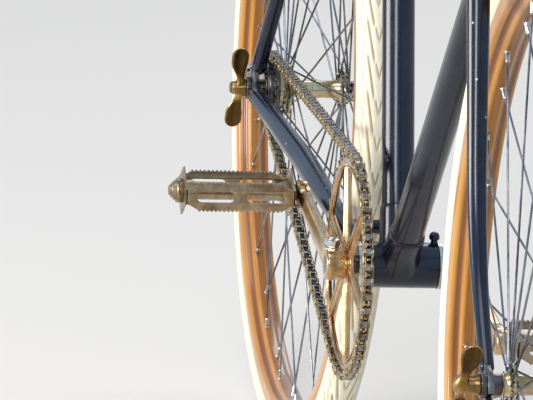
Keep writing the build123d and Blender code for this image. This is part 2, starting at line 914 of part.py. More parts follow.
seat_tube = seat_tube_solid - shell_solid
seat_tube = seat_tube - rod(
    on_seat_tube(seat_tube_length - seat_tube_bore_depth),
    on_seat_tube(seat_tube_top + 1),
    seat_tube_bore / 2,
)
down_tube = down_tube_solid - shell_solid - head_tube_solid - seat_tube_solid
top_tube = top_tube_solid - seat_tube_solid - head_tube_solid
head_tube = head_tube_solid - rod(
    on_steering(head_tube_bottom - 5),
    on_steering(head_tube_top + 5),
    head_tube_bore / 2,
)

lower_lug = lug_sleeves(
    [
        (
            on_steering(head_tube_bottom + 4),
            on_steering(head_tube_bottom + head_tube_below_down_tube * 2 - 4),
            head_tube_diameter,
        ),
        (down_tube_top, down_tube_top - down_direction * lug_reach, down_tube_diameter),
    ]
)
lower_head_lug = lower_lug - head_tube_solid - down_tube_solid
upper_lug = lug_sleeves(
    [
        (
            on_steering(top_tube_on_steering - 25),
            on_steering(head_tube_top - 3),
            head_tube_diameter,
        ),
        (top_tube_front, top_tube_front - top_direction * lug_reach, top_tube_diameter),
    ]
)
upper_head_lug = upper_lug - head_tube_solid - top_tube_solid
seat_lug_solid = lug_sleeves(
    [
        (
            on_seat_tube(seat_tube_length - 26),
            on_seat_tube(seat_tube_top),
            seat_tube_diameter,
        ),
        (seat_cluster, seat_cluster + top_direction * lug_reach, top_tube_diameter),
    ]
)
binder_ear = plate(
    Pos(seat_cluster.X - seat_tube_diameter / 2 - 5, seat_cluster.Z + 4) * Rectangle(11, 13),
    -6.5,
    6.5,
)
post_top = on_seat_tube(seat_post_top)
seat_post = rod(on_seat_tube(seat_tube_length - seat_post_insertion), post_top, seat_post_diameter / 2)
seat_lug = (seat_lug_solid + binder_ear) - seat_tube_solid - top_tube_solid - seat_post
seat_lug = seat_lug - left_seatstay_solid - mirrored(left_seatstay_solid)

bracket_sockets = lug_sleeves(
    [
        (bracket, on_seat_tube(bracket_socket_reach), seat_tube_diameter),
        (bracket, down_direction * bracket_socket_reach, down_tube_diameter),
    ]
)
stay_bow, stay_foot = chainstay_places()[2:]
stay_run = stay_bow - stay_foot
stay_radius = chainstay_waist_diameter / 2
left_stay_bore = rod(stay_foot, stay_bow, stay_radius)
left_stay_socket = rod(stay_foot - stay_run * 0.17, stay_foot + stay_run * 0.32, stay_radius + lug_wall)
bottom_bracket_shell = shell_solid + bracket_sockets + left_stay_socket + mirrored(left_stay_socket)
bottom_bracket_shell = bottom_bracket_shell - seat_tube - down_tube - left_stay_bore - mirrored(left_stay_bore)
bottom_bracket_shell = bottom_bracket_shell - rod(
    bracket_right + point(0, -1, 0),
    bracket_left + point(0, 1, 0),
    shell_bore / 2,
)

lugs = (lower_head_lug, upper_head_lug, seat_lug, bottom_bracket_shell)

left_chainstay = chainstay()
right_chainstay = mirrored(left_chainstay)
left_seatstay = left_seatstay_solid - left_dropout - seat_tube_solid - top_tube_solid
right_seatstay = mirrored(left_seatstay)
right_dropout = mirrored(left_dropout)

brake_bridge_end = stay_offset_at(brake_bridge_height)
chainstay_bridge_z = rear_hub_centre.Z * chainstay_bridge_back / -rear_hub_centre.X
bridges = []
for x, z, reach, diameter in (
    (-chainstay_bridge_back, chainstay_bridge_z, chainstay_bow_offset, bridge_diameter),
    (brake_bridge_end.X, brake_bridge_end.Z, brake_bridge_end.Y, bridge_diameter * 0.8),
):
    bar = rod(point(x, -reach, z), point(x, reach, z), diameter / 2)
    for stay in (left_stay_bore, left_seatstay_solid):
        bar = bar - stay - mirrored(stay)
    bridges.append(one(bar))
stay_bridges = Compound(children=bridges)

cup_bore = rod(point(0, -60, 0), point(0, 60, 0), spindle_diameter / 2 + running_clearance)
cups = []
for side in (-1, 1):
    face = side * shell_width / 2
    cup = rod(point(0, face, 0), point(0, face + side * cup_flange, 0), shell_diameter / 2 + 0.5)
    cups.append(one(cup - cup_bore))

# Headset, in two bodies: cups on the head tube, races on the fork
cup_hole = rod(on_steering(head_tube_bottom - 30), on_steering(head_tube_top + 60), steerer_diameter / 2 + 0.6)
for start, end in (
    (head_tube_bottom - headset_height + headset_gap + headset_race_height, head_tube_bottom),
    (head_tube_top, head_tube_top + headset_height - headset_race_height),
):
    cup = rod(on_steering(start), on_steering(end), headset_diameter / 2)
    cups.append(one(cup - cup_hole))
bearing_cups = Compound(children=cups)

# Fork
crown_top = fork_length
crown_bottom = fork_length - crown_height
steerer_top = head_tube_top + headset_height + steerer_above_cup
steerer = rod(on_steering(crown_top), on_steering(steerer_top), steerer_diameter / 2)
steerer = steerer - rod(on_steering(crown_top + 20), on_steering(steerer_top + 1), steerer_bore / 2)
race_radius = headset_diameter / 2 - 1
lower_race_top = on_steering(crown_top + headset_race_height)
lower_race = rod(on_steering(crown_top), lower_race_top, race_radius)
lower_race = lower_race - rod(on_steering(crown_top), lower_race_top, steerer_diameter / 2)
upper_race_start = head_tube_top + headset_height - headset_race_height + headset_gap
headset_nut_start = upper_race_start + upper_race_height
upper_race = rod(on_steering(upper_race_start), on_steering(headset_nut_start), race_radius)
headset_nut_plane = Plane(origin=on_steering(headset_nut_start), x_dir=(0, 1, 0), z_dir=up_steering)
headset_nut = RegularPolygon(headset_nut_width / 2, 6, major_radius=False)
upper_race = upper_race + extrude(headset_nut_plane * headset_nut, amount=headset_nut_height)
upper_race = upper_race - rod(on_steering(head_tube_top), on_steering(steerer_top + 1), steerer_diameter / 2)
headset_races = Compound(children=[one(lower_race), one(upper_race)])


def blade_points(side):
    top = on_steering(crown_bottom + 2) + point(0, side * blade_top_offset, 0)
    knee = on_steering(blade_knee_height) + point(0, side * blade_knee_offset, 0)
    end = front_hub_centre + point(0, side * (front_end_inner_face + dropout_thickness / 2), 0)
    tip = end + (knee - end).normalized() * 16
    return top, knee, tip


def fork_blade(side):
    radii = (blade_top_diameter / 2, blade_middle_diameter / 2, blade_tip_diameter / 2)
    return bent_taper(blade_points(side), blade_bend_radius, radii, 3)


def fork_end(side):
    """The slotted plate at the tip of a blade."""
    top, knee, tip = blade_points(side)
    to_tip = tip - front_hub_centre
    lean = math.degrees(math.atan2(to_tip.X, to_tip.Z))
    body = Circle(11) + Pos(0, 14) * Rectangle(9, 24)
    body = body - Pos(0, -6) * SlotOverall(22, axle_diameter + 0.4, rotation=90)
    inner = front_end_inner_face
    low, high = sorted((side * inner, side * (inner + dropout_thickness)))
    flat = plate(Rot(0, 0, -lean) * body, low, high)
    return Pos(front_hub_centre.X, 0, front_hub_centre.Z) * flat


left_fork_end = fork_end(1)
right_fork_end = fork_end(-1)
crown_plane = Plane(origin=on_steering(crown_bottom), x_dir=(0, 1, 0), z_dir=up_steering)
crown_outline = SlotOverall(2 * blade_top_offset + crown_width, crown_width + 2)
fork_crown = extrude(crown_plane * crown_outline, amount=crown_height)
left_blade_solid = fork_blade(1)
right_blade_solid = fork_blade(-1)
fork_crown = fork_crown - left_blade_solid - right_blade_solid
left_fork_blade = left_blade_solid - left_fork_end
right_fork_blade = right_blade_solid - right_fork_end

# Stem and handlebar
stem_top = steerer_top + stem_height
bar_centre = on_steering(stem_top) + point(stem_reach, 0, 0)
quill = rod(on_steering(head_tube_top - stem_insertion), on_steering(stem_top), stem_diameter / 2)
bar_radius = bar_diameter / 2
stem_arm = rod(on_steering(stem_top), bar_centre, stem_arm_diameter / 2)
clamp_reach = point(0, stem_clamp_width / 2, 0)
stem_clamp = rod(bar_centre - clamp_reach, bar_centre + clamp_reach, bar_radius + stem_clamp_wall)
stem_cap = rod(on_steering(stem_top), on_steering(stem_top + stem_cap_height), stem_cap_diameter / 2)
stem = quill + stem_arm + stem_clamp + stem_cap


def drop_path(side):
    """From the end of the plain middle, out, forward and down round one drop of the bar."""
    half = side * bar_width / 2
    corners = [
        bar_centre + point(0, side * bar_plain_half_width, 0),
        bar_centre + point(0, side * bar_flat_half_width, 0),
        bar_centre + point(bar_reach, half, -12),
        bar_centre + point(bar_reach + 12, half, -bar_drop),
        bar_centre + point(-bar_end_back, half, -bar_drop - 10),
    ]
    return FilletPolyline(*corners, radius=(16, 44, 46))


def wrapped_drop(side):
    """One drop with its wrapping as a single round form. The bar inside it isn't drawn."""
    path = drop_path(side)
    places = bend_places(path, 4)
    drop = stepped_tube(places, [bar_radius + tape_thickness] * len(places), point(0, 0, 1))
    end = path @ 1
    return drop - rod(end - (path % 1) * bar_end_bore_depth, end + path % 1, bar_end_bore / 2)


handlebar = rod(
    bar_centre - point(0, bar_plain_half_width, 0),
    bar_centre + point(0, bar_plain_half_width, 0),
    bar_radius,
)
stem = stem - handlebar

# Saddle
clamp_centre = post_top + point(0, 0, saddle_clamp_rise)
saddle_top = clamp_centre.Z + saddle_height_above_clamp
saddle_rear = clamp_centre.X - saddle_clamp_share * saddle_length
rider_mount = point(saddle_rear + saddle_seat_share * saddle_length, 0, saddle_top)


def saddle_section(x, width, top, depth):
    """A domed section across the saddle, with straight skirts below."""
    half = width / 2
    shoulder = top - min(depth * 0.45, half * 0.5)
    floor = top - depth
    seat = Plane(origin=(x, 0, 0), x_dir=(0, 1, 0), z_dir=(1, 0, 0))
    corners = [
        (-half, floor),
        (-half, shoulder),
        (-half * 0.6, shoulder + (top - shoulder) * 0.8),
        (0, top),
        (half * 0.6, shoulder + (top - shoulder) * 0.8),
        (half, shoulder),
        (half, floor),
    ]
    return seat * make_face(Polyline(*corners, close=True))


def saddle_body(shrink):
    """shrink takes the leather's thickness off the width and top, for the hollow inside."""
    # share of the length from the rear, width, drop below the top, depth
    rows = [
        (0.00, 0.86 * saddle_width, 4.0, saddle_skirt),
        (saddle_seat_share, saddle_width, 0.0, saddle_skirt + 4),
        (0.50, 0.56 * saddle_width, 3.0, saddle_skirt),
        (0.80, 1.15 * saddle_nose_width, 5.0, saddle_skirt - 4),
        (1.00, saddle_nose_width, 9.0, saddle_skirt - 12),
    ]
    length = saddle_length - 2 * shrink
    sections = [
        saddle_section(
            saddle_rear + shrink + share * length,
            width - 2 * shrink,
            saddle_top - drop - shrink,
            depth - shrink + (2 if shrink else 0),
        )
        for share, width, drop, depth in rows
    ]
    return loft(sections, ruled=True)


saddle_leather = saddle_body(0) - saddle_body(leather_thickness)
rail_z = clamp_centre.Z
rail_front = saddle_rear + saddle_length - rail_end_inset
rail_rear = saddle_rear + rail_end_inset
half_spacing = rail_spacing / 2
clamp_half = point(0, half_spacing + saddle_clamp_overhang, 0)
saddle_frame = rod(clamp_centre - clamp_half, clamp_centre + clamp_half, saddle_clamp_diameter / 2)
saddle_frame = saddle_frame + rod(post_top, clamp_centre, seat_post_diameter / 2)
for side in (-1, 1):
    nose_end = point(rail_front, side * rail_nose_spacing / 2, rail_z + rail_nose_rise)
    corner = point(clamp_centre.X + rail_flat_front, side * half_spacing, rail_z)
    tail_end = point(rail_rear + rail_riser_run, side * half_spacing, rail_z)
    slope = (corner - nose_end).normalized()
    rail = rod(nose_end, corner + slope, rail_diameter / 2) + rod(corner, tail_end, rail_diameter / 2)
    riser = rod(
        tail_end + point(1, 0, 0),
        point(rail_rear, side * (half_spacing + rail_riser_spread), saddle_top - rail_riser_top),
        rail_diameter / 2,
    )
    saddle_frame = saddle_frame + rail + riser
saddle_frame = saddle_frame - saddle_leather - seat_post

# Wheels
rear_flanges = (
    (1, rear_left_flange, rear_left_flange_diameter, 0.0),
    (-1, rear_right_flange, rear_right_flange_diameter, 9.0),
)
front_flanges = (
    (1, front_flange, front_flange_diameter, 0.0),
    (-1, front_flange, front_flange_diameter, 9.0),
)
to_rear = Pos(rear_hub_centre.X, 0, rear_hub_centre.Z)
to_front = Pos(front_hub_centre.X, 0, front_hub_centre.Z)
rear_seat = rear_dropout_inner_face
front_seat = front_end_inner_face
rear_left_stop = rear_left_flange + hub_end_length
front_stop = front_flange + hub_end_length
rear_axle = axle(rear_left_stop, freewheel_outer_face, rear_seat, rear_nut_hub_length)
front_axle = axle(front_stop, front_stop, front_seat, front_nut_hub_length)

# Crank set, turned to the angle at which it stands
crank_turn = Rot(0, crank_angle, 0)
half_turn = Rot(0, 180, 0)
right_arm = crank_arm()
left_arm = half_turn * mirrored(right_arm)
right_pin = cotter(-1)
left_pin = half_turn * cotter(1)
crank_spindle = rod(
    point(0, -crank_boss_outer_face, 0),
    point(0, crank_boss_outer_face, 0),
    spindle_diameter / 2,
)
right_pedal_place = crank_turn * Pos(-crank_length, 0, 0) * Rot(0, -crank_angle, 0)
left_pedal_place = crank_turn * Pos(crank_length, 0, 0) * Rot(0, -crank_angle, 0)
right_spindle = pedal_spindle()
right_cage = pedal_cage()
right_barrel = pedal_barrel()

pieces = {
    "seat_tube": seat_tube,
    "down_tube": down_tube,
    "top_tube": top_tube,
    "head_tube": head_tube,
    "frame_lugs": Compound(children=[one(lug) for lug in lugs]),
    "bearing_cups": bearing_cups,
    "right_chainstay": right_chainstay,
    "left_chainstay": left_chainstay,
    "right_seatstay": right_seatstay,
    "left_seatstay": left_seatstay,
    "stay_bridges": stay_bridges,
    "right_rear_dropout": right_dropout,
    "left_rear_dropout": left_dropout,
    "seat_post": seat_post,
    "saddle_leather": saddle_leather,
    "saddle_frame": saddle_frame,
    "chain": chain(),
    "sprocket": sprocket(),
    "rear_axle": to_rear * rear_axle,
    "rear_wing_nuts": to_rear * wing_nut_pair(rear_seat + dropout_thickness, rear_nut_hub_length),
    "steerer": steerer,
    "headset_races": headset_races,
    "fork_crown": fork_crown - steerer,
    "right_fork_blade": right_fork_blade,
    "left_fork_blade": left_fork_blade,
    "right_fork_end": right_fork_end,
    "left_fork_end": left_fork_end,
    "stem": stem,
    "handlebar": handlebar,
    "right_wrapped_drop": wrapped_drop(-1),
    "left_wrapped_drop": wrapped_drop(1),
    "front_axle": to_front * front_axle,
    "front_wing_nuts": to_front * wing_nut_pair(front_seat + dropout_thickness, front_nut_hub_length),
    "front_tyre": to_front * wheel_tyre(),
    "front_rim": to_front * wheel_rim(),
    "front_hub_and_spokes": to_front * laced_hub(front_hub(), wheel_spokes(front_flanges)),
    "rear_tyre": to_rear * wheel_tyre(),
    "rear_rim": to_rear * wheel_rim(),
    "rear_hub_and_spokes": to_rear * laced_hub(rear_hub(), wheel_spokes(rear_flanges)),
    "crank_spindle": crank_spindle,
    "chainring": chainring(),
    "right_crank": crank_turn * right_arm,
    "left_crank": crank_turn * left_arm,
    "cotter_pins": Compound(children=[one(crank_turn * right_pin), one(crank_turn * left_pin)]),
    "right_pedal_spindle": right_pedal_place * right_spindle,
    "left_pedal_spindle": left_pedal_place * mirrored(right_spindle),
    "right_pedal_cage": right_pedal_place * right_cage,
    "left_pedal_cage": left_pedal_place * mirrored(right_cage),
    "right_pedal_barrel": right_pedal_place * right_barrel,
    "left_pedal_barrel": left_pedal_place * mirrored(right_barrel),
}

to_rider = Pos(-rider_mount.X, 0, -rider_mount.Z)
for name, piece in pieces.items():
    export_step(to_rider * one(piece), f"parts/{name}.step")
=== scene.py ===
import math

import bmesh
import bpy
from mathutils import Matrix, Vector


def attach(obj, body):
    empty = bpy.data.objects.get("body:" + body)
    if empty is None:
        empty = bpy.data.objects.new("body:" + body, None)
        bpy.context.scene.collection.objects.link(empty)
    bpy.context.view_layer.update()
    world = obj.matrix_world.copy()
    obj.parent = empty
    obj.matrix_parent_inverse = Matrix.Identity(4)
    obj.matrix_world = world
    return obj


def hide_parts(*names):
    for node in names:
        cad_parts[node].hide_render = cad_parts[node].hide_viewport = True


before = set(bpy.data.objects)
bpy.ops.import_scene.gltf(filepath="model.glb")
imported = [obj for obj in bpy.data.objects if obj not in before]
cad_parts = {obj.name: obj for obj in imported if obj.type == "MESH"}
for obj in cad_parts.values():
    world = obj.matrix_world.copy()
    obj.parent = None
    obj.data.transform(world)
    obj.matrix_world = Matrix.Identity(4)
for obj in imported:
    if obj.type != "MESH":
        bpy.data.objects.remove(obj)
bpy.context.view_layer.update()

# Vintage racing bicycle. Shapes are given in millimetres from the bottom bracket's centre,
# +X forward, +Y to the rider's left, +Z up, and are moved to the part's frame in place().
MM = 0.001
DATUM = Vector((246.50346659339255, 0.0, -686.3796151557882))
GROUND = -297.5
AXIS_X = Vector((1, 0, 0))
AXIS_Y = Vector((0, 1, 0))
AXIS_Z = Vector((0, 0, 1))


def place(point):
    return (Vector(point) + DATUM) * MM


def new_object(name, data):
    made = bpy.data.objects.new(name, data)
    bpy.context.scene.collection.objects.link(made)
    return made


# Main points, the same as the construction's
BRACKET = Vector((0, 0, 0))
REAR_HUB = Vector((-474.9877359027236, 0, 55.5))
FRONT_HUB = Vector((605.0122640972763, 0, 55.5))
STEERING_FOOT = Vector((543.9322437461923, 0, 33.26869068383152))
HEAD_LEAN = math.radians(70.0)
SEAT_LEAN = math.radians(73.0)
UP_STEERING = Vector((-math.cos(HEAD_LEAN), 0, math.sin(HEAD_LEAN)))
AHEAD_OF_STEERING = Vector((math.sin(HEAD_LEAN), 0, math.cos(HEAD_LEAN)))
UP_SEAT_TUBE = Vector((-math.cos(SEAT_LEAN), 0, math.sin(SEAT_LEAN)))


def on_steering(height):
    return STEERING_FOOT + UP_STEERING * height


def on_seat_tube(distance):
    return UP_SEAT_TUBE * distance


SEAT_TUBE_LENGTH = 560.0
SEAT_TUBE_TOP = 578.0
SEAT_CLUSTER = on_seat_tube(SEAT_TUBE_LENGTH)
FORK_LENGTH = 385.0
LOWER_HEADSET = 9.0
UPPER_HEADSET = 23.0
DOWN_TUBE_RISE = 32.0
HEAD_ABOVE_TOP_TUBE = 24.0
STEM_RISE = 52.0
STEM_REACH = 70.0
HEAD_BOTTOM = FORK_LENGTH + LOWER_HEADSET
DOWN_TUBE_TOP = on_steering(HEAD_BOTTOM + DOWN_TUBE_RISE)
TOP_TUBE_HEIGHT = (SEAT_CLUSTER.z - STEERING_FOOT.z) / UP_STEERING.z
TOP_TUBE_FRONT = on_steering(TOP_TUBE_HEIGHT)
HEAD_TOP = TOP_TUBE_HEIGHT + HEAD_ABOVE_TOP_TUBE
STEM_TOP = HEAD_TOP + UPPER_HEADSET + STEM_RISE
BAR_CENTRE = on_steering(STEM_TOP) + AXIS_X * STEM_REACH


# Shapes
def axes(along, hint):
    """Two directions square to a line, the first one nearest to the hint."""
    along = along.normalized()
    across = (hint - along * hint.dot(along)).normalized()
    return across, along.cross(across)


def round_line(across, up, sides, turn=0.0):
    """Directions all round a line."""
    angles = [turn + 2 * math.pi * i / sides for i in range(sides)]
    return [across * math.cos(a) + up * math.sin(a) for a in angles]


def both_ends(rows):
    """Rows of (distance, value) up to the middle, and the same mirrored beyond it."""
    return list(rows) + [(-distance, value) for distance, value in reversed(rows)]


def circle(radius, count=48):
    angles = [2 * math.pi * i / count for i in range(count)]
    return [(radius * math.cos(a), radius * math.sin(a)) for a in angles]


class Shape:
    """Vertices and faces of one piece, in millimetres."""

    def __init__(self):
        self.verts = []
        self.faces = []
        self.painted_shades = []

    def add(self, verts, faces, matrix=None, painted_shades=None):
        """The vertices' painted shade: how dark each one is painted, 0 to 1, for materials that
        read it.
        """
        base = len(self.verts)
        self.verts += [matrix @ v for v in verts] if matrix else list(verts)
        self.faces += [tuple(index + base for index in face) for face in faces]
        self.painted_shades += painted_shades or [0.0] * len(verts)
        return self

    def join(self, other, matrix=None):
        return self.add(other.verts, other.faces, matrix, other.painted_shades)

    def rings(self, rings, loop=False, painted_shades=None):
        """Skins rings that have the same number of vertices each, capped or closed to a loop."""
        sides = len(rings[0])
        count = len(rings)
        verts = [v for ring in rings for v in ring]
        faces = []
        for a in range(count if loop else count - 1):
            b = (a + 1) % count
            for i in range(sides):
                j = (i + 1) % sides
                faces.append((a * sides + i, a * sides + j, b * sides + j, b * sides + i))
        if not loop:
            faces.append(tuple(reversed(range(sides))))
            faces.append(tuple(range((count - 1) * sides, count * sides)))
        return self.add(verts, faces, painted_shades=painted_shades)

    def lathe(
        self, profile, centre=BRACKET, axis=AXIS_Y, hint=AXIS_X, sides=48, loop=False, turn=0.0
    ):
        """profile: rows of (distance along the axis, radius)."""
        across, up = axes(axis, hint)
        along = axis.normalized()
        rays = round_line(across, up, sides, turn)
        rows = [[centre + along * d + ray * r for ray in rays] for d, r in profile]
        return self.rings(rows, loop=loop)

    def tube(self, places, radii, sides, hint=None):
        """A round tube through the places, without a twist."""
        last = len(places) - 1
        across = None
        rows = []
        for index, (spot, radius) in enumerate(zip(places, radii)):
            before = places[max(index - 1, 0)]
            after = places[min(index + 1, last)]
            along = (after - before).normalized()
            if across is None:
                first = hint or (AXIS_Y if abs(along.y) < 0.9 else AXIS_X)
                across = axes(along, first)[0]
            across, up = axes(along, across)
            rows.append([spot + ray * radius for ray in round_line(across, up, sides)])
        return self.rings(rows)

    def sphere(self, centre, radius, sides=16, squash=1.0, axis=AXIS_Z):
        steps = sides // 2
        profile = []
        for i in range(1, steps):
            a = math.pi * i / steps
            profile.append((-math.cos(a) * radius * squash, math.sin(a) * radius))
        hint = AXIS_X if abs(axis.x) < 0.9 else AXIS_Y
        return self.lathe(profile, centre, axis, hint, sides)


def fillet(corners, radii, step=4.0):
    """Points along straight runs joined by arcs. step is the spacing on the arcs, in mm."""
    points = [corners[0]]
    for i in range(1, len(corners) - 1):
        corner = corners[i]
        back = (corners[i - 1] - corner).normalized()
        ahead = (corners[i + 1] - corner).normalized()
        half = back.angle(ahead) / 2
        radius = radii[i - 1]
        reach = radius / math.tan(half)
        middle = corner + (back + ahead).normalized() * (radius / math.sin(half))
        first = corner + back * reach - middle
        last = corner + ahead * reach - middle
        sweep = first.angle(last)
        steps = max(3, int(sweep * radius / step))
        turn_axis = first.cross(last).normalized()
        for k in range(steps + 1):
            points.append(middle + Matrix.Rotation(sweep * k / steps, 3, turn_axis) @ first)
    points.append(corners[-1])
    return points


def resample(points, spacing):
    """The same line with evenly spaced points, and the distance of each."""
    lengths = [0.0]
    for a, b in zip(points, points[1:]):
        lengths.append(lengths[-1] + (b - a).length)
    count = max(2, round(lengths[-1] / spacing))
    spots = []
    index = 0
    for k in range(count + 1):
        want = lengths[-1] * k / count
        while index < len(points) - 2 and lengths[index + 1] < want:
            index += 1
        span = lengths[index + 1] - lengths[index]
        share = (want - lengths[index]) / span if span else 0.0
        spots.append(points[index].lerp(points[index + 1], share))
    return spots, [lengths[-1] * k / count for k in range(count + 1)]


def smooth_step(value):
    value = min(max(value, 0.0), 1.0)
    return value * value * (3 - 2 * value)


def flat_plate(outlines, thickness, bevel=0.3, rounds=1):
    """A flat plate with rounded edges, holed by the later outlines: x and y in it, z through."""
    curve = bpy.data.curves.new("outline", "CURVE")
    curve.dimensions = "2D"
    curve.fill_mode = "BOTH"
    curve.extrude = thickness / 2 - bevel
    curve.bevel_depth = bevel
    curve.bevel_resolution = rounds
    curve.offset = -bevel
    for outline in outlines:
        spline = curve.splines.new("POLY")
        spline.points.add(len(outline) - 1)
        for point, (x, y) in zip(spline.points, outline):
            point.co = (x, y, 0, 1)
        spline.use_cyclic_u = True
    holder = new_object("outline", curve)
    graph = bpy.context.evaluated_depsgraph_get()
    mesh = bpy.data.meshes.new_from_object(holder.evaluated_get(graph), depsgraph=graph)
    shape = Shape()
    shape.add([v.co.copy() for v in mesh.vertices], [tuple(p.vertices) for p in mesh.polygons])
    bpy.data.objects.remove(holder)
    bpy.data.curves.remove(curve)
    bpy.data.meshes.remove(mesh)
    return shape


def basis(x_axis, y_axis, z_axis, spot):
    """Puts a shape's own axes along the given ones, at a place."""
    return Matrix((*zip(x_axis, y_axis, z_axis, spot), (0, 0, 0, 1)))


def side_plane(centre):
    """Puts a flat plate in the bicycle's long plane: its x forward and its y up."""
    return basis(AXIS_X, AXIS_Z, -AXIS_Y, centre)


def cross_plane(centre):
    """Puts a flat plate across the bicycle: its x to the left and its y up."""
    return basis(AXIS_Y, AXIS_Z, AXIS_X, centre)


def turn_y(degrees):
    return Matrix.Rotation(math.radians(degrees), 4, "Y")


AS_IT_IS = Matrix.Identity(4)
MIRROR_Y = Matrix.Diagonal((1, -1, 1, 1))
# Vertices nearer than this are one, and edges shorter than this go, in millimetres
WELD = 0.002
SLIVER = 0.001


def make(name, shape, material, body, replaces=(), origin=BRACKET, sharp=38.0):
    """Turns a shape into an object that rides on a body. Edges over sharp degrees stay sharp."""
    mesh = bpy.data.meshes.new(name)
    mesh.from_pydata([(v - origin) * MM for v in shape.verts], [], shape.faces)
    if any(shape.painted_shades):
        mesh.attributes.new("shade", "FLOAT", "POINT").data.foreach_set("value", shape.painted_shades)
    work = bmesh.new()
    work.from_mesh(mesh)
    bmesh.ops.remove_doubles(work, verts=work.verts, dist=WELD * MM)
    bmesh.ops.dissolve_degenerate(work, edges=work.edges, dist=SLIVER * MM)
    bmesh.ops.recalc_face_normals(work, faces=work.faces)
    limit = math.radians(sharp)
    for face in work.faces:
        face.smooth = True
    for edge in work.edges:
        edge.smooth = not (len(edge.link_faces) == 2 and edge.calc_face_angle(0.0) > limit)
    work.to_mesh(mesh)
    work.free()
    obj = new_object(name, mesh)
    obj.location = place(origin)
    mesh.materials.append(material)
    bpy.context.view_layer.update()
    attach(obj, body)
    if replaces:
        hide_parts(*replaces)
    return obj


# Materials
def add_node(tree, kind, inputs=None, **settings):
    """A new node. An input is linked where its value is a socket, and set where it is constant."""
    made = tree.nodes.new(kind)
    for key, value in settings.items():
        setattr(made, key, value)
    for key, value in (inputs or {}).items():
        if isinstance(value, bpy.types.NodeSocket):
            tree.links.new(value, made.inputs[key])
        else:
            made.inputs[key].default_value = value
    return made


class Graph:
    """A material's nodes, in the coordinates of its object, which are metres."""

    def __init__(self, name, metallic=0.0, coat=0.0, coat_roughness=0.03, specular=0.5):
        self.material = bpy.data.materials.new(name)
        self.material.use_nodes = True
        self.tree = self.material.node_tree
        self.shader = self.tree.nodes["Principled BSDF"]
        self.shader.inputs["Metallic"].default_value = metallic
        self.shader.inputs["Coat Weight"].default_value = coat
        self.shader.inputs["Coat Roughness"].default_value = coat_roughness
        self.shader.inputs["Specular IOR Level"].default_value = specular
        self.coordinates = self.node("ShaderNodeTexCoord").outputs["Object"]

    def node(self, kind, inputs=None, **settings):
        return add_node(self.tree, kind, inputs, **settings)

    def stretched(self, scale):
        inputs = {"Vector": self.coordinates, "Scale": scale}
        return self.node("ShaderNodeMapping", inputs).outputs["Vector"]

    def noise(self, scale, detail=4.0, roughness=0.55, vector=None, low=0.35, high=0.65):
        """A noise value stretched to the range 0 to 1."""
        inputs = {"Vector": vector or self.coordinates}
        inputs.update({"Scale": scale, "Detail": detail, "Roughness": roughness})
        texture = self.node("ShaderNodeTexNoise", inputs)
        return self.spread(texture.outputs["Fac"], low, high, 0.0, 1.0)

    def shade(self):
        return self.node("ShaderNodeAttribute", attribute_name="shade").outputs["Fac"]

    def spread(self, value, low, high, to_low, to_high):
        inputs = {"Value": value, "From Min": low, "From Max": high}
        inputs.update({"To Min": to_low, "To Max": to_high})
        return self.node("ShaderNodeMapRange", inputs).outputs["Result"]

    def math(self, operation, a, b=0.0):
        return self.node("ShaderNodeMath", {0: a, 1: b}, operation=operation).outputs["Value"]

    def times(self, a, b):
        return self.math("MULTIPLY", a, b)

    def weighed(self, a, share_a, b, share_b):
        return self.math("ADD", self.times(a, share_a), self.times(b, share_b))

    def mix(self, factor, a, b):
        return self.node("ShaderNodeMix", {0: factor, 6: a, 7: b}, data_type="RGBA").outputs[2]

    def cover(self, base, mask, amount, colour):
        """Lays a colour over the base where the mask is 1, as thick as the amount."""
        return self.mix(self.times(mask, amount), base, colour)

    def finish(self, colour, roughness, height, depth, strength):
        """Ends the material. depth: how far the relief reaches, in metres."""
        inputs = {"Height": height, "Distance": depth, "Strength": strength}
        bump = self.node("ShaderNodeBump", inputs)
        self.tree.links.new(colour, self.shader.inputs["Base Color"])
        self.tree.links.new(roughness, self.shader.inputs["Roughness"])
        self.tree.links.new(bump.outputs["Normal"], self.shader.inputs["Normal"])
        return self.material


def rgb(red, green, blue):
    """A linear colour from 0 to 255 display values."""
    return (*((v / 255) ** 2.2 for v in (red, green, blue)), 1.0)


def darker(colour, share):
    return (*(v * share for v in colour[:3]), 1.0)


def enamel(name, colour, dust, chips):
    """Glossy paint with a little dust, fine scratches and small chips."""
    g = Graph(name, coat=0.7, coat_roughness=0.22, specular=0.1)
    base = g.mix(g.noise(9.0, 3.0), colour, darker(colour, 0.55))
    film = g.noise(55.0, 6.0, 0.65, low=0.48, high=0.72)
    base = g.cover(base, film, dust, rgb(150, 143, 132))
    spots = g.node("ShaderNodeTexVoronoi", {"Vector": g.coordinates, "Scale": 120.0})
    near = g.spread(spots.outputs["Distance"], 0.10, 0.14, 1.0, 0.0)
    pick = g.node("ShaderNodeSeparateColor", {0: spots.outputs["Color"]}).outputs[0]
    rare = g.spread(pick, 0.90, 0.91, 0.0, 1.0)
    patch = g.noise(14.0, 2.0, low=0.50, high=0.56)
    chip = g.times(g.times(near, rare), g.times(patch, chips))
    base = g.mix(chip, base, rgb(214, 206, 190))
    scratch = g.noise(30.0, 5.0, 0.7, g.stretched((1.0, 9.0, 9.0)), 0.45, 0.75)
    rough = g.spread(g.weighed(film, 0.5, scratch, 0.5), 0, 1, 0.16, 0.42)
    height = g.math("SUBTRACT", g.times(scratch, 0.06), chip)
    return g.finish(base, rough, height, 0.00012, 0.4)


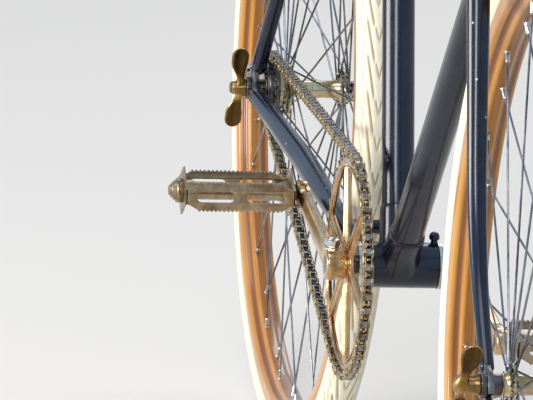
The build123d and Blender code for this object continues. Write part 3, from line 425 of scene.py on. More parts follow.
def metal(name, bright, dull, grime, rough, scale, wear, hollow=None):
    """Plated or bare metal with patina, brushed marks and grime, its colours in display values.

    hollow: the colour of painted shade, laid on the vertices marked as shaded, such as dished
    hollows."""
    g = Graph(name, metallic=1.0)
    patina = g.noise(scale, 6.0, 0.65)
    base = g.mix(patina, rgb(*bright), rgb(*dull))
    dirt = g.noise(scale * 0.45, 7.0, 0.7, low=0.50, high=0.68)
    base = g.cover(base, dirt, wear, rgb(*grime))
    # painted shade, laid over the vertices marked as shaded
    if hollow:
        base = g.cover(base, g.shade(), g.spread(patina, 0.0, 1.0, 0.97, 0.72), rgb(*hollow))
    brushed = g.noise(scale * 2.5, 4.0, 0.6, g.stretched((1.0, 6.0, 1.0)))
    roughness = g.spread(g.weighed(dirt, 0.55, brushed, 0.45), 0.0, 1.0, rough[0], rough[1])
    pit = g.noise(scale * 7.0, 3.0, 0.6, low=0.3, high=0.75)
    return g.finish(base, roughness, g.weighed(pit, 0.3, brushed, 0.25), 0.00004, 0.3)


def around_hub(g, along, across, radial):
    """Coordinates that run round a wheel: slow along the hoop, fast across and outwards."""
    x, y, z = g.node("ShaderNodeSeparateXYZ", {0: g.coordinates}).outputs
    flat = g.node("ShaderNodeCombineXYZ", {0: x, 2: z}).outputs[0]
    radius = g.node("ShaderNodeVectorMath", {0: flat}, operation="LENGTH").outputs["Value"]
    angle = g.math("ARCTAN2", z, x)
    hoop_x = g.times(g.math("COSINE", angle), along)
    hoop_z = g.weighed(g.math("SINE", angle), along, radius, radial)
    parts = {0: hoop_x, 1: g.times(y, across), 2: hoop_z}
    return g.node("ShaderNodeCombineXYZ", parts).outputs[0], radius, y


def bent_wood(name):
    """Varnished bent wood: long grain, pores, and painted shade, a darker brown, in the side
    hollows and on the middle band.
    """
    g = Graph(name, coat=0.6, coat_roughness=0.08, specular=0.3)
    line, radius, side = around_hub(g, 1.6, 170.0, 170.0)
    broad = g.noise(1.0, 3.0, 0.55, line, 0.36, 0.66)
    fine_line = around_hub(g, 6.0, 1400.0, 1400.0)[0]
    fine = g.noise(1.0, 5.0, 0.65, fine_line, 0.42, 0.66)
    base = g.mix(broad, rgb(204, 146, 60), rgb(176, 112, 34))
    # painted shade: darker brown in the hollow on each side of the inner face and on its middle
    # band
    across = g.math("ABSOLUTE", side)
    hollow_start = g.spread(across, 0.0064, 0.0078, 0.0, 1.0)
    hollow_end = g.spread(across, 0.0108, 0.0128, 1.0, 0.0)
    ridge = g.spread(across, 0.0030, 0.0044, 1.0, 0.0)
    inside = g.spread(radius, 0.3100, 0.3120, 1.0, 0.0)
    hollow_and_band_shade = g.weighed(g.times(hollow_start, hollow_end), 0.80, ridge, 0.55)
    base = g.mix(g.times(hollow_and_band_shade, inside), base, rgb(118, 66, 32))
    base = g.cover(base, fine, 0.30, rgb(140, 78, 34))
    blotch = g.noise(7.0, 5.0, 0.6, low=0.50, high=0.72)
    base = g.cover(base, blotch, 0.25, rgb(112, 62, 30))
    rough = g.spread(g.weighed(fine, 0.5, blotch, 0.5), 0, 1, 0.22, 0.42)
    return g.finish(base, rough, fine, 0.00008, 0.3)


def old_rubber(name):
    """Cream tyre rubber: ochre painted shade in the tread's grooves, specks, yellower towards the
    rim.
    """
    g = Graph(name, specular=0.35)
    line, radius, _ = around_hub(g, 30.0, 120.0, 120.0)
    cloud = g.noise(1.0, 5.0, 0.6, line)
    crown = g.spread(radius, 0.326, 0.345, 0.0, 1.0)
    base = g.mix(crown, rgb(240, 230, 204), rgb(246, 240, 220))
    base = g.cover(base, cloud, 0.22, rgb(226, 208, 166))
    # painted shade: the grooves turn ochre by how deep they are cut
    base = g.cover(base, g.shade(), 0.85, rgb(182, 150, 92))
    dirt = g.noise(60.0, 7.0, 0.7, low=0.54, high=0.74)
    base = g.cover(base, dirt, 0.22, rgb(172, 150, 112))
    speck = g.noise(420.0, 3.0, 0.6, low=0.62, high=0.76)
    base = g.cover(base, speck, 0.3, rgb(140, 118, 88))
    rough = g.spread(cloud, 0.0, 1.0, 0.5, 0.7)
    return g.finish(base, rough, g.weighed(cloud, 0.4, speck, -0.5), 0.00012, 0.35)


def leather(name, light, dark, grain):
    """Waxed leather: pebbled grain, darker creases, paler where it is rubbed."""
    g = Graph(name, coat=0.15, coat_roughness=0.3, specular=0.45)
    inputs = {"Vector": g.coordinates, "Scale": grain}
    cells = g.node("ShaderNodeTexVoronoi", inputs, feature="DISTANCE_TO_EDGE")
    crease = g.spread(cells.outputs["Distance"], 0.0, 0.16, 1.0, 0.0)
    rub = g.noise(12.0, 4.0, 0.6)
    base = g.mix(rub, light, dark)
    base = g.cover(base, crease, 0.55, darker(dark, 0.35))
    blotch = g.noise(45.0, 5.0, 0.65, low=0.5, high=0.7)
    base = g.cover(base, blotch, 0.3, dark)
    rough = g.spread(g.weighed(crease, 0.5, rub, 0.5), 0, 1, 0.34, 0.62)
    height = g.math("SUBTRACT", g.times(rub, 0.3), crease)
    return g.finish(base, rough, height, 0.00025, 0.5)


def seen_directly(tree):
    """1 for a ray from the camera or off a shiny or clear surface, 0 for a ray that lights."""
    path = add_node(tree, "ShaderNodeLightPath").outputs
    seen = path["Is Camera Ray"]
    for kind in ("Is Glossy Ray", "Is Transmission Ray"):
        either = add_node(tree, "ShaderNodeMath", {0: seen, 1: path[kind]}, operation="MAXIMUM")
        seen = either.outputs[0]
    return seen


def pale_floor(name, colour, glow, rough):
    """Lit like paper, with a plain pale tone added where it is seen."""
    material = bpy.data.materials.new(name)
    material.use_nodes = True
    tree = material.node_tree
    paint = tree.nodes["Principled BSDF"]
    paint.inputs["Base Color"].default_value = colour
    paint.inputs["Roughness"].default_value = rough
    paint.inputs["Emission Color"].default_value = colour
    seen = seen_directly(tree)
    level = add_node(tree, "ShaderNodeMath", {0: seen, 1: glow}, operation="MULTIPLY")
    tree.links.new(level.outputs[0], paint.inputs["Emission Strength"])
    return material


# black paint tinted navy: the blue is a painted reflection of the sky
SKY_TINTED_BLACK = enamel("sky_tinted_black_enamel", rgb(12, 22, 44), 0.03, 0.8)
# name, bright, dull and grimy colour, range of roughness, scale of the patina, wear
BRIGHT = metal(
    "bright_steel", (214, 212, 206), (176, 172, 164), (96, 86, 74), (0.14, 0.34), 70.0, 0.4
)
SPOKE = metal("spoke_steel", (150, 150, 154), (84, 82, 84), (44, 38, 36), (0.2, 0.4), 30.0, 0.7)
HUB = metal("hub_nickel", (206, 196, 170), (172, 144, 96), (100, 66, 28), (0.12, 0.3), 60.0, 0.6)
DARK = metal("dark_steel", (124, 122, 122), (84, 80, 78), (46, 40, 36), (0.2, 0.42), 80.0, 0.6)
DROPOUT = metal("grey_steel", (128, 132, 134), (94, 96, 98), (56, 52, 48), (0.3, 0.55), 70.0, 0.5)
CRANK = metal("warm_nickel", (218, 188, 148), (178, 136, 90), (98, 62, 32), (0.15, 0.36), 40.0, 0.6)
PEDAL = metal("cage_nickel", (176, 158, 132), (132, 114, 90), (76, 58, 42), (0.26, 0.5), 60.0, 0.55)
CHAIN = metal(
    "chain_plates", (190, 168, 126), (112, 94, 64), (44, 36, 28), (0.16, 0.36), 160.0, 0.6
)
ROLLER = metal(
    "chain_rollers", (168, 172, 182), (110, 110, 116), (48, 44, 42), (0.12, 0.3), 160.0, 0.4
)
# brass, its marked dishes and collar darkened with a dark brown painted shade
BRASS = metal(
    "wing_brass", (204, 166, 102), (142, 112, 68), (82, 64, 40), (0.2, 0.42), 60.0, 0.6,
    hollow=(58, 44, 28),
)
WOOD = bent_wood("varnished_wood")
RUBBER = old_rubber("cream_rubber")
HIDE = leather("saddle_hide", rgb(122, 70, 40), rgb(74, 40, 24), 260.0)
TAPE = leather("bar_wrap", rgb(150, 98, 60), rgb(98, 60, 36), 420.0)
COPPER = metal("rivet_copper", (196, 122, 84), (150, 88, 58), (84, 50, 34), (0.22, 0.4), 90.0, 0.4)


# Camera, as fitted to the photograph's points, its place from the bottom bracket
CAMERA_PLACE = Vector((4406.354573557078, -905.2827066773855, 1077.3591456604624))
CAMERA_YAW = math.radians(1.4576051344448981)
CAMERA_PITCH = math.radians(-0.610807713358826)
CAMERA_ROLL = math.radians(3.601233222448812)
FOCAL_PIXELS = 5306.146711420534
FRAME_PIXELS = 533
SENSOR_WIDTH = 36.0

look = -CAMERA_PLACE.normalized()
level_right = look.cross(AXIS_Z).normalized()
level_down = look.cross(level_right)
level = Matrix((level_right, level_down, look))
turned = (
    Matrix.Rotation(CAMERA_ROLL, 3, "Z")
    @ Matrix.Rotation(CAMERA_PITCH, 3, "X")
    @ Matrix.Rotation(CAMERA_YAW, 3, "Y")
    @ level
)
camera_data = bpy.data.cameras.new("camera")
camera_data.sensor_fit = "HORIZONTAL"
camera_data.sensor_width = SENSOR_WIDTH
camera_data.lens = FOCAL_PIXELS * SENSOR_WIDTH / FRAME_PIXELS
camera_data.clip_end = 200.0
camera = new_object("camera", camera_data)
right, down, ahead = turned
camera.matrix_world = basis(right, -down, -ahead, place(CAMERA_PLACE))
bpy.context.scene.camera = camera

# Wheels
TYRE_RADIUS = 353.0
TYRE_SECTION = 17.5
TYRE_CENTRE = TYRE_RADIUS - TYRE_SECTION
RIM_BED = 326.0
RIM_RIDGE = 302.8
SPOKES = 40
CROSSINGS = 3
SPOKE_RADIUS = 0.95
FLANGE_HALF = 1.2
HOLE_INSET = 3.6

TREAD_PITCH_COUNT = 68
# Rows of grooves: lateral start and end, length round the tyre, shift, half width, depth
TREAD_ROWS = (
    (4.3, 11.0, 41.0, 0.0, 1.15, 1.5),
    (13.6, 21.0, 25.0, 12.0, 0.9, 1.1),
    (12.8, 17.6, 20.0, 27.0, 0.8, 1.0),
    (0.0, 3.2, 14.0, 18.0, 0.9, 1.1),
    (0.0, 4.6, 3.0, 0.0, 0.8, 0.9),
)
# Degrees from the crown that the tread reaches, and that the tyre reaches
TREAD_REACH = 76.0
TYRE_FOOT = 122.9
# Painted shade: a groove this deep is painted fully dark
FULL_SHADE_DEPTH = 1.1


def groove_depth(around, lateral, pitch):
    """How deep the tread is cut at a place on the unrolled tyre."""
    depth = 0.0
    side = abs(lateral)
    for start, end, length, shift, half, cut in TREAD_ROWS:
        for lap in (-1, 0, 1):
            share = ((around - shift) % pitch + lap * pitch) / length
            if -0.05 < share < 1.05:
                line = start + (end - start) * share
                ends = min(1.0, (share + 0.05) * 6, (1.05 - share) * 6)
                width = half * (0.45 + 0.55 * ends)
                here = cut * ends * (1 - smooth_step(abs(side - line) / width * 0.7))
                depth = max(depth, here)
    return depth


def tyre(centre):
    circumference = 2 * math.pi * TYRE_RADIUS
    pitch = circumference / TREAD_PITCH_COUNT
    steps = TREAD_PITCH_COUNT * 12
    edge = [-TYRE_FOOT, -114.0, -105.0, -96.0, -88.0, -80.0]
    columns = edge + [-74.0 + 2.0 * i for i in range(75)] + [-column for column in reversed(edge)]
    rows = []
    painted_shades = []
    for k in range(steps):
        around = circumference * k / steps
        angle = 2 * math.pi * k / steps
        ray = Vector((math.cos(angle), 0, math.sin(angle)))
        ring = []
        for column in columns:
            lean = math.radians(column)
            cut = 0.0
            if abs(column) < TREAD_REACH:
                cut = groove_depth(around, TYRE_SECTION * lean, pitch)
            section = TYRE_SECTION - cut
            radius = TYRE_CENTRE + section * math.cos(lean)
            ring.append(centre + ray * radius + AXIS_Y * (section * math.sin(lean)))
            # painted shade, darker in deeper grooves
            painted_shades.append(min(1.0, cut / FULL_SHADE_DEPTH))
        rows.append(ring)
    return Shape().rings(rows, loop=True, painted_shades=painted_shades)


def rim(centre):
    """The wooden hoop: the tyre's bed, round shoulders, a hollow on each side, a middle band."""
    half = [(0.0, RIM_BED - 1.4), (10.0, RIM_BED - 0.8), (14.6, RIM_BED), (15.4, RIM_BED - 0.8)]
    half += [(15.6, RIM_BED - 2.2), (15.6, 314.0), (15.3, 311.8), (14.5, 310.2), (13.2, 309.1)]
    half += [(11.6, 308.6), (9.8, 308.4), (8.2, 307.9), (7.2, 306.9), (6.4, 305.4), (5.6, 304.0)]
    half += [(4.6, 303.2), (3.0, 302.9), (0.0, RIM_RIDGE)]
    mirrored = [(-y, r) for y, r in reversed(half[1:-1])]
    return Shape().lathe(half + mirrored, centre, sides=300, loop=True)


def spoke_lines(flanges):
    """Rows of (head, elbow, rim end) for each spoke, from the hub's centre."""
    per_flange = SPOKES // 2
    hole_step = 360.0 / per_flange
    lines = []
    for side, offset, diameter, turn in flanges:
        hole = diameter / 2 - HOLE_INSET
        for index in range(per_flange):
            leading = index % 2 == 0
            start = math.radians(turn + index * hole_step)
            swing = CROSSINGS * hole_step * (1 if leading else -1)
            end = math.radians(turn + index * hole_step + swing)
            out = 1 if leading else -1
            foot = Vector((hole * math.cos(start), side * offset, hole * math.sin(start)))
            clear = FLANGE_HALF + SPOKE_RADIUS + (1.2 if leading else 0.2)
            elbow = foot + AXIS_Y * (side * out * clear)
            tip = Vector((math.cos(end), 0, math.sin(end))) * (RIM_RIDGE + 1.5)
            tip += AXIS_Y * (side * 2.5)
            head = foot - AXIS_Y * (side * out * (FLANGE_HALF + 0.7))
            lines.append((head, elbow, tip))
    return lines


def spokes(centre, lines):
    shape = Shape()
    for head, elbow, tip in lines:
        places = fillet([head, elbow, tip], [1.6], 0.8)
        shape.tube([centre + p for p in places], [SPOKE_RADIUS] * len(places), 8)
        shape.sphere(centre + head, 2.0, 10, 0.55, AXIS_Y)
    return shape


def nipples(centre, lines):
    shape = Shape()
    rows = ((0.0, 2.5), (0.8, 2.5), (1.3, 2.1), (2.4, 1.95))
    rows += ((9.6, 1.85), (10.6, 1.5), (11.0, 1.0))
    for _, elbow, tip in lines:
        inward = (elbow - tip).normalized()
        shape.lathe(rows, centre + (tip + inward * 0.8), inward, AXIS_Y, 10)
    return shape


# side, distance from the middle, diameter, turn of the first hole
REAR_FLANGES = ((1, 32.6, 42.0, 0.0), (-1, 21.0, 52.0, 9.0))
FRONT_FLANGES = ((1, 31.0, 36.0, 0.0), (-1, 31.0, 36.0, 9.0))
BORE = 4.85


def flange(at, radius, barrel):
    """One flange of a turned profile, with rounded edges and a foot that runs out to the barrel."""
    rows = ((-4.2, barrel), (-2.0, barrel + 1.4), (-1.25, barrel + 4.0))
    rows += ((-FLANGE_HALF, radius - 0.5), (-0.7, radius))
    return [(at + along, reach) for along, reach in both_ends(rows)]


def oiler(centre, at, barrel):
    """The spring clip over the hub's oil hole."""
    rows = both_ends(((-4.0, barrel - 0.2), (-3.6, barrel + 0.7)))
    shape = Shape().lathe([(at + along, radius) for along, radius in rows], centre)
    return shape.sphere(centre + Vector((0, at, barrel + 1.0)), 1.6, 12, 0.7)


def rear_hub_shape():
    profile = [(-45.0, BORE), (-45.0, 17.4), (-44.4, 18.0), (-24.4, 18.0), (-24.2, 12.0)]
    profile += [(-22.2, 12.0)] + flange(-21.0, 26.0, 8.75)[3:]
    profile += [(-6.0, 8.2), (14.0, 8.2)] + flange(32.6, 21.0, 8.75)
    profile += [(39.6, 8.75), (40.6, 8.0), (40.6, BORE)]
    shape = Shape().lathe(profile, REAR_HUB, sides=56, loop=True)
    return shape.join(oiler(REAR_HUB, 6.0, 8.2))


def front_hub_shape():
    profile = [(-39.0, BORE), (-39.0, 8.0), (-38.2, 8.75)] + flange(-31.0, 18.0, 8.75)
    profile += [(-12.0, 7.6), (12.0, 7.6)] + flange(31.0, 18.0, 8.75)
    profile += [(38.2, 8.75), (39.0, 8.0), (39.0, BORE)]
    shape = Shape().lathe(profile, FRONT_HUB, sides=56, loop=True)
    return shape.join(oiler(FRONT_HUB, 0.0, 7.6))


for end, body, centre, flanges, hub_shape in (
    ("rear", "rear_wheel", REAR_HUB, REAR_FLANGES, rear_hub_shape()),
    ("front", "front_wheel", FRONT_HUB, FRONT_FLANGES, front_hub_shape()),
):
    lines = spoke_lines(flanges)
    hub_node = (end + "_hub_and_spokes",)
    for name, shape, material, slot, replaced, sharp in (
        ("_treaded_tyre", tyre(centre), RUBBER, "cream_tyre", (end + "_tyre",), 60.0),
        ("_wooden_rim", rim(centre), WOOD, "varnished_wood", (end + "_rim",), 60.0),
        ("_hub", hub_shape, HUB, "nickel", hub_node, 38.0),
        ("_spokes", spokes(centre, lines), SPOKE, "bright_steel", hub_node, 38.0),
        ("_nipples", nipples(centre, lines), BRIGHT, "nickel", (), 38.0),
    ):
        make(end + name, shape, material, body, replaced, centre, sharp)


# Wing nuts
WASHER = 4.5
WING_SPAN = 88.0
ROUND_END = 9.0


def wing_ear(root_centre, tip_centre):
    """One ear of a wing nut, up the Z axis: it grows out of the hub and ends in a dished paddle."""
    tip = WING_SPAN / 2
    rows = []
    painted_shades = []
    steps = 30
    across_steps = 12
    for k in range(steps + 1):
        share = k / steps
        height = tip * (1 - (1 - share) ** 1.35)
        centre = root_centre + (tip_centre - root_centre) * smooth_step((height - 2) / 24)
        past = max(0.0, (height - (tip - ROUND_END)) / ROUND_END)
        round_end = max(0.0, 1 - past**2) ** 0.5
        waist = 6.4 - 2.8 * smooth_step(height / 11)
        swell = waist + 4.5 * smooth_step((height - 10) / 20)
        half = max(0.25, swell * round_end)
        dish = smooth_step((height - 13) / 10) * round_end
        root = 1 - smooth_step((height - 2) / 15)
        front = []
        back = []
        dish_shades = []
        for i in range(across_steps + 1):
            v = -1 + 2 * i / across_steps
            thick = 1.1 + 4.4 * root + (1.3 * abs(v) ** 2.4 - 0.2) * dish
            thick *= (1 - 0.75 * abs(v) ** 6) * (0.45 + 0.55 * round_end)
            front.append(Vector((thick, centre + v * half, height)))
            back.append(Vector((-thick, centre + v * half, height)))
            # painted shade: the paddle's dished face darkened, fading towards its edges and round
            # end
            tone = smooth_step((height - 9) / 8) * smooth_step((1 - abs(v)) / 0.22)
            dish_shades.append(tone * smooth_step(round_end / 0.6))
        rows.append(front + list(reversed(back)))
        painted_shades += dish_shades + list(reversed(dish_shades))
    return Shape().rings(rows, painted_shades=painted_shades)


def wing_nut(seat, hub_length, root, tip):
    """The left nut, on an axle along Y. root and tip: how far out its ears start and end."""
    foot = seat + WASHER
    shape = Shape()
    for turn in (0.0, 180.0):
        shape.join(wing_ear(foot + root, foot + tip), turn_y(turn))
    top = foot + hub_length
    collar = [(foot, 8.2), (foot + 1.0, 8.6), (foot + 2.2, 8.0), (foot + 4.2, 6.9)]
    collar += [(top - 2.6, 6.3), (top - 0.8, 5.9), (top, 5.3), (top, BORE - 0.1)]
    collar += [(foot, BORE - 0.1)]
    barrel = Shape().lathe(collar, sides=40, loop=True)
    # painted shade: the collar darkened towards the washer
    barrel.painted_shades = [0.75 * smooth_step((top - 1.0 - v.y) / 5) for v in barrel.verts]
    return shape.join(barrel)


def washer(seat):
    """A thick serrated washer between the plate and the wing nut."""
    teeth = 30
    outline = []
    for i in range(teeth * 2):
        radius = 10.5 if i % 2 else 10.15
        angle = math.pi * i / teeth
        outline.append((radius * math.cos(angle), radius * math.sin(angle)))
    ring = flat_plate([outline, circle(BORE, 24)], WASHER - 0.1, 0.5, 2)
    return Shape().join(ring, side_plane((0, seat + WASHER / 2, 0)))


# end, body, hub, face of its plate, length of the nut's hub, root and tip of its ears, turn
for end, body, centre, seat, hub_length, root, tip, tilt in (
    ("rear", "frame", REAR_HUB, 56.5, 14.0, 4.6, 8.4, 20.0),
    ("front", "fork", FRONT_HUB, 51.0, 18.0, 14.0, 11.4, 34.0),
):
    nuts = Shape()
    pair = Shape()
    for flip in (AS_IT_IS, MIRROR_Y):
        to_end = Matrix.Translation(centre) @ flip @ turn_y(tilt)
        nuts.join(wing_nut(seat, hub_length, root, tip), to_end)
        pair.join(washer(seat), to_end)
    node = (end + "_wing_nuts",)
    make(end + "_dished_wing_nuts", nuts, BRASS, body, node, centre, 50.0)
    make(end + "_washers", pair, DARK, body, (), centre)


# Chain and its wheels
PITCH = 12.7
RING_TEETH = 48
SPROCKET_TEETH = 16
LINKS = 108
ROLLER_SEAT = 4.0
RING_LINE = -45.0
SPROCKET_LINE = -36.0
RING_PITCH_RADIUS = PITCH / (2 * math.sin(math.pi / RING_TEETH))
SPROCKET_PITCH_RADIUS = PITCH / (2 * math.sin(math.pi / SPROCKET_TEETH))
RING_STEP = 2 * math.pi / RING_TEETH
SPROCKET_STEP = 2 * math.pi / SPROCKET_TEETH
CENTRES = REAR_HUB.length
RUN_LEAN = math.asin((RING_PITCH_RADIUS - SPROCKET_PITCH_RADIUS) / CENTRES)
CENTRE_LINE = math.atan2(REAR_HUB.z, REAR_HUB.x)
UPPER_NORMAL = CENTRE_LINE - math.pi / 2 + RUN_LEAN
LOWER_NORMAL = CENTRE_LINE + math.pi / 2 - RUN_LEAN
RING_WRAP = (2 * math.pi - (LOWER_NORMAL - UPPER_NORMAL)) / RING_STEP
SPROCKET_WRAP = (LOWER_NORMAL - UPPER_NORMAL) / SPROCKET_STEP
RUN_LINKS = (LINKS - RING_WRAP - SPROCKET_WRAP) / 2


def around(centre, line, angle, radius):
    return Vector((centre.x + radius * math.cos(angle), line, centre.z + radius * math.sin(angle)))


def roller_place(link):
    """Where a roller is, from its number round the loop."""
    along = link % LINKS + 0.5
    if along < RING_WRAP:
        return around(BRACKET, RING_LINE, UPPER_NORMAL - along * RING_STEP, RING_PITCH_RADIUS)
    along -= RING_WRAP
    ends = {
        normal: (
            around(BRACKET, RING_LINE, normal, RING_PITCH_RADIUS),
            around(REAR_HUB, SPROCKET_LINE, normal, SPROCKET_PITCH_RADIUS),
        )
        for normal in (UPPER_NORMAL, LOWER_NORMAL)
    }
    if along < RUN_LINKS:
        at_ring, at_sprocket = ends[LOWER_NORMAL]
        return at_ring.lerp(at_sprocket, along / RUN_LINKS)
    along -= RUN_LINKS
    if along < SPROCKET_WRAP:
        angle = LOWER_NORMAL - along * SPROCKET_STEP
        return around(REAR_HUB, SPROCKET_LINE, angle, SPROCKET_PITCH_RADIUS)
    along -= SPROCKET_WRAP
    at_ring, at_sprocket = ends[UPPER_NORMAL]
    return at_sprocket.lerp(at_ring, along / RUN_LINKS)


def link_outline(end_radius, waist):
    """A link plate: two round ends and a waist, its holes' centres half a pitch each side."""
    half = PITCH / 2
    angles = [math.radians(a) for a in range(-112, 113, 28)]
    right_end = [(half + end_radius * math.cos(a), end_radius * math.sin(a)) for a in angles]
    left_end = [(-x, -y) for x, y in right_end]
    return right_end + [(0.0, waist)] + left_end + [(0.0, -waist)]


PLATE_END = 4.25
outer_plate = flat_plate([link_outline(PLATE_END, 3.0)], 1.1)
inner_plate = flat_plate([link_outline(PLATE_END, 3.4)], 1.1)
pin_rows = both_ends(((-5.0, 1.2), (-4.8, 1.7), (-4.3, 1.9)))
roller_rows = both_ends(((-2.1, 3.4), (-1.9, 3.85)))
plates_shape = Shape()
rollers_shape = Shape()
for link in range(LINKS):
    here = roller_place(link)
    there = roller_place(link + 1)
    along = (there - here).normalized()
    side, up = axes(along, AXIS_Y)
    middle = (here + there) / 2
    flat, offset = (inner_plate, 2.7) if link % 2 else (outer_plate, 3.85)
    for sign in (1, -1):
        plates_shape.join(flat, basis(along, up, side, middle + side * (offset * sign)))
    plates_shape.lathe(pin_rows, here, side, up, 10)
    rollers_shape.lathe(roller_rows, here, side, up, 14)
make("chain_links", plates_shape, CHAIN, "frame", ("chain",))
make("chain_roller_row", rollers_shape, ROLLER, "frame")

# share of the tooth pitch, height over the gap
TOOTH_ROWS = (
    (0.00, 0.0), (0.13, 0.2), (0.22, 1.1), (0.31, 3.0), (0.40, 6.0), (0.46, 7.0),
    (0.54, 7.0), (0.60, 6.0), (0.69, 3.0), (0.78, 1.1), (0.87, 0.2),
)


def toothed(teeth, pitch_radius, first_gap):
    """The outline of a toothed wheel."""
    root = pitch_radius - ROLLER_SEAT
    step = 2 * math.pi / teeth
    points = []
    for tooth in range(teeth):
        for share, rise in TOOTH_ROWS:
            angle = first_gap + (tooth + share) * step
            radius = root + rise
            points.append((radius * math.cos(angle), radius * math.sin(angle)))
    return points


RING_GAP = UPPER_NORMAL - 0.5 * RING_STEP
travelled = RING_WRAP + RUN_LINKS
SPROCKET_GAP = LOWER_NORMAL - (math.ceil(travelled - 0.5) + 0.5 - travelled) * SPROCKET_STEP
STAR_ARMS = 6
FIRST_ARM = math.radians(165.0)
RING_INNER = 84.0
STAR_BOSS = 19.0
EDGE_START = 17.0
SPINDLE_BORE = 7.95
FREEWHEEL_BORE = 18.15
WHEEL_THICKNESS = 2.8


def star_window(arm):
    """The opening between two arms of the chainring's star, with round corners."""
    low = FIRST_ARM + arm * 2 * math.pi / STAR_ARMS
    high = low + 2 * math.pi / STAR_ARMS
    points = []
    for radius, half, order in ((RING_INNER, 5.2, 1), (STAR_BOSS + 4, 7.2, -1)):
        lean = math.asin(half / radius)
        steps = 14 if order > 0 else 5
        row = []
        for k in range(steps + 1):
            share = k / steps
            angle = low + lean + (high - low - 2 * lean) * share
            edge = min(share, 1 - share) * (high - low) * radius
            reach = radius - max(0.0, 5.0 - edge) ** 2 / 12 * order
            row.append((reach * math.cos(angle), reach * math.sin(angle)))
        points += row if order > 0 else list(reversed(row))
    return points


outline = toothed(RING_TEETH, RING_PITCH_RADIUS, RING_GAP)
windows = [star_window(arm) for arm in range(STAR_ARMS)]
star = flat_plate([outline] + windows + [circle(SPINDLE_BORE)], WHEEL_THICKNESS, 0.35)
ring_shape = Shape().join(star, side_plane((0, RING_LINE, 0)))
# a raised edge along both sides of each arm, on both faces
for arm in range(STAR_ARMS):
    angle = FIRST_ARM + arm * 2 * math.pi / STAR_ARMS
    outward = Vector((math.cos(angle), 0, math.sin(angle)))
    sideways = Vector((-math.sin(angle), 0, math.cos(angle)))
    for sign in (1, -1):
        spots = []
        radii = []
        for k in range(13):
            share = k / 12
            reach = EDGE_START + (RING_INNER + 3.0 - EDGE_START) * share
            spread = (4.6 - 1.6 * share) * sign
            spots.append(outward * reach + sideways * spread + AXIS_Y * (RING_LINE - 1.2))
            radii.append((1.9 - 0.5 * share) * (1.0 if 0 < k < 12 else 0.4))
        ring_shape.tube(spots, radii, 10, AXIS_Y)
        ring_shape.tube([spot + AXIS_Y * 2.4 for spot in spots], radii, 10, AXIS_Y)
bead = ((-1.0, 0.0), (-0.7, 0.9), (0.0, 1.3), (0.7, 0.9), (1.0, 0.0))
bead_radius = RING_INNER + 1.6
for face in (-1.4, 1.4):
    rows = [(RING_LINE + face + math.copysign(rise, face), bead_radius + d) for d, rise in bead]
    ring_shape.lathe(rows + [(RING_LINE, bead_radius)], sides=96, loop=True)
hub_rows = [(-46.9, SPINDLE_BORE), (-46.9, 15.0), (-46.2, 16.0), (-46.0, 18.0), (-44.0, 18.4)]
hub_rows += [(-42.0, 16.8), (-41.0, 16.4), (-40.5, 15.4), (-40.5, SPINDLE_BORE)]
ring_shape.lathe(hub_rows, sides=64, loop=True)
make("star_chainring", ring_shape, CRANK, "cranks", ("chainring",))

outline = toothed(SPROCKET_TEETH, SPROCKET_PITCH_RADIUS, SPROCKET_GAP)
teeth = flat_plate([outline, circle(FREEWHEEL_BORE)], WHEEL_THICKNESS, 0.35)
freewheel = Shape().join(teeth, side_plane((REAR_HUB.x, SPROCKET_LINE, REAR_HUB.z)))
shell_rows = [(-43.5, FREEWHEEL_BORE), (-43.5, 22.4), (-43.0, 23.2), (-41.6, 23.4), (-41.4, 24.4)]
shell_rows += [(-40.9, 25.0), (-38.0, 25.0), (-37.6, 24.4), (-34.4, 24.4), (-34.0, 25.0)]
shell_rows += [(-31.6, 25.0), (-31.0, 24.2), (-31.0, FREEWHEEL_BORE)]
freewheel.lathe(shell_rows, REAR_HUB, sides=72, loop=True)
for k in range(4):
    angle = math.radians(45 + 90 * k)
    spot = REAR_HUB + Vector((20.6 * math.cos(angle), -43.6, 20.6 * math.sin(angle)))
    freewheel.sphere(spot, 1.5, 12, 0.5, AXIS_Y)
make("freewheel_sprocket", freewheel, DARK, "frame", ("sprocket",), REAR_HUB)

# Cranks, pedals
CRANK_ANGLE = 8.7
CRANK_LENGTH = 167.5
CRANK_INNER = 53.5
CRANK_OUTER = 63.0
BOSS_INNER = 47.0
BOSS_OUTER = 64.5


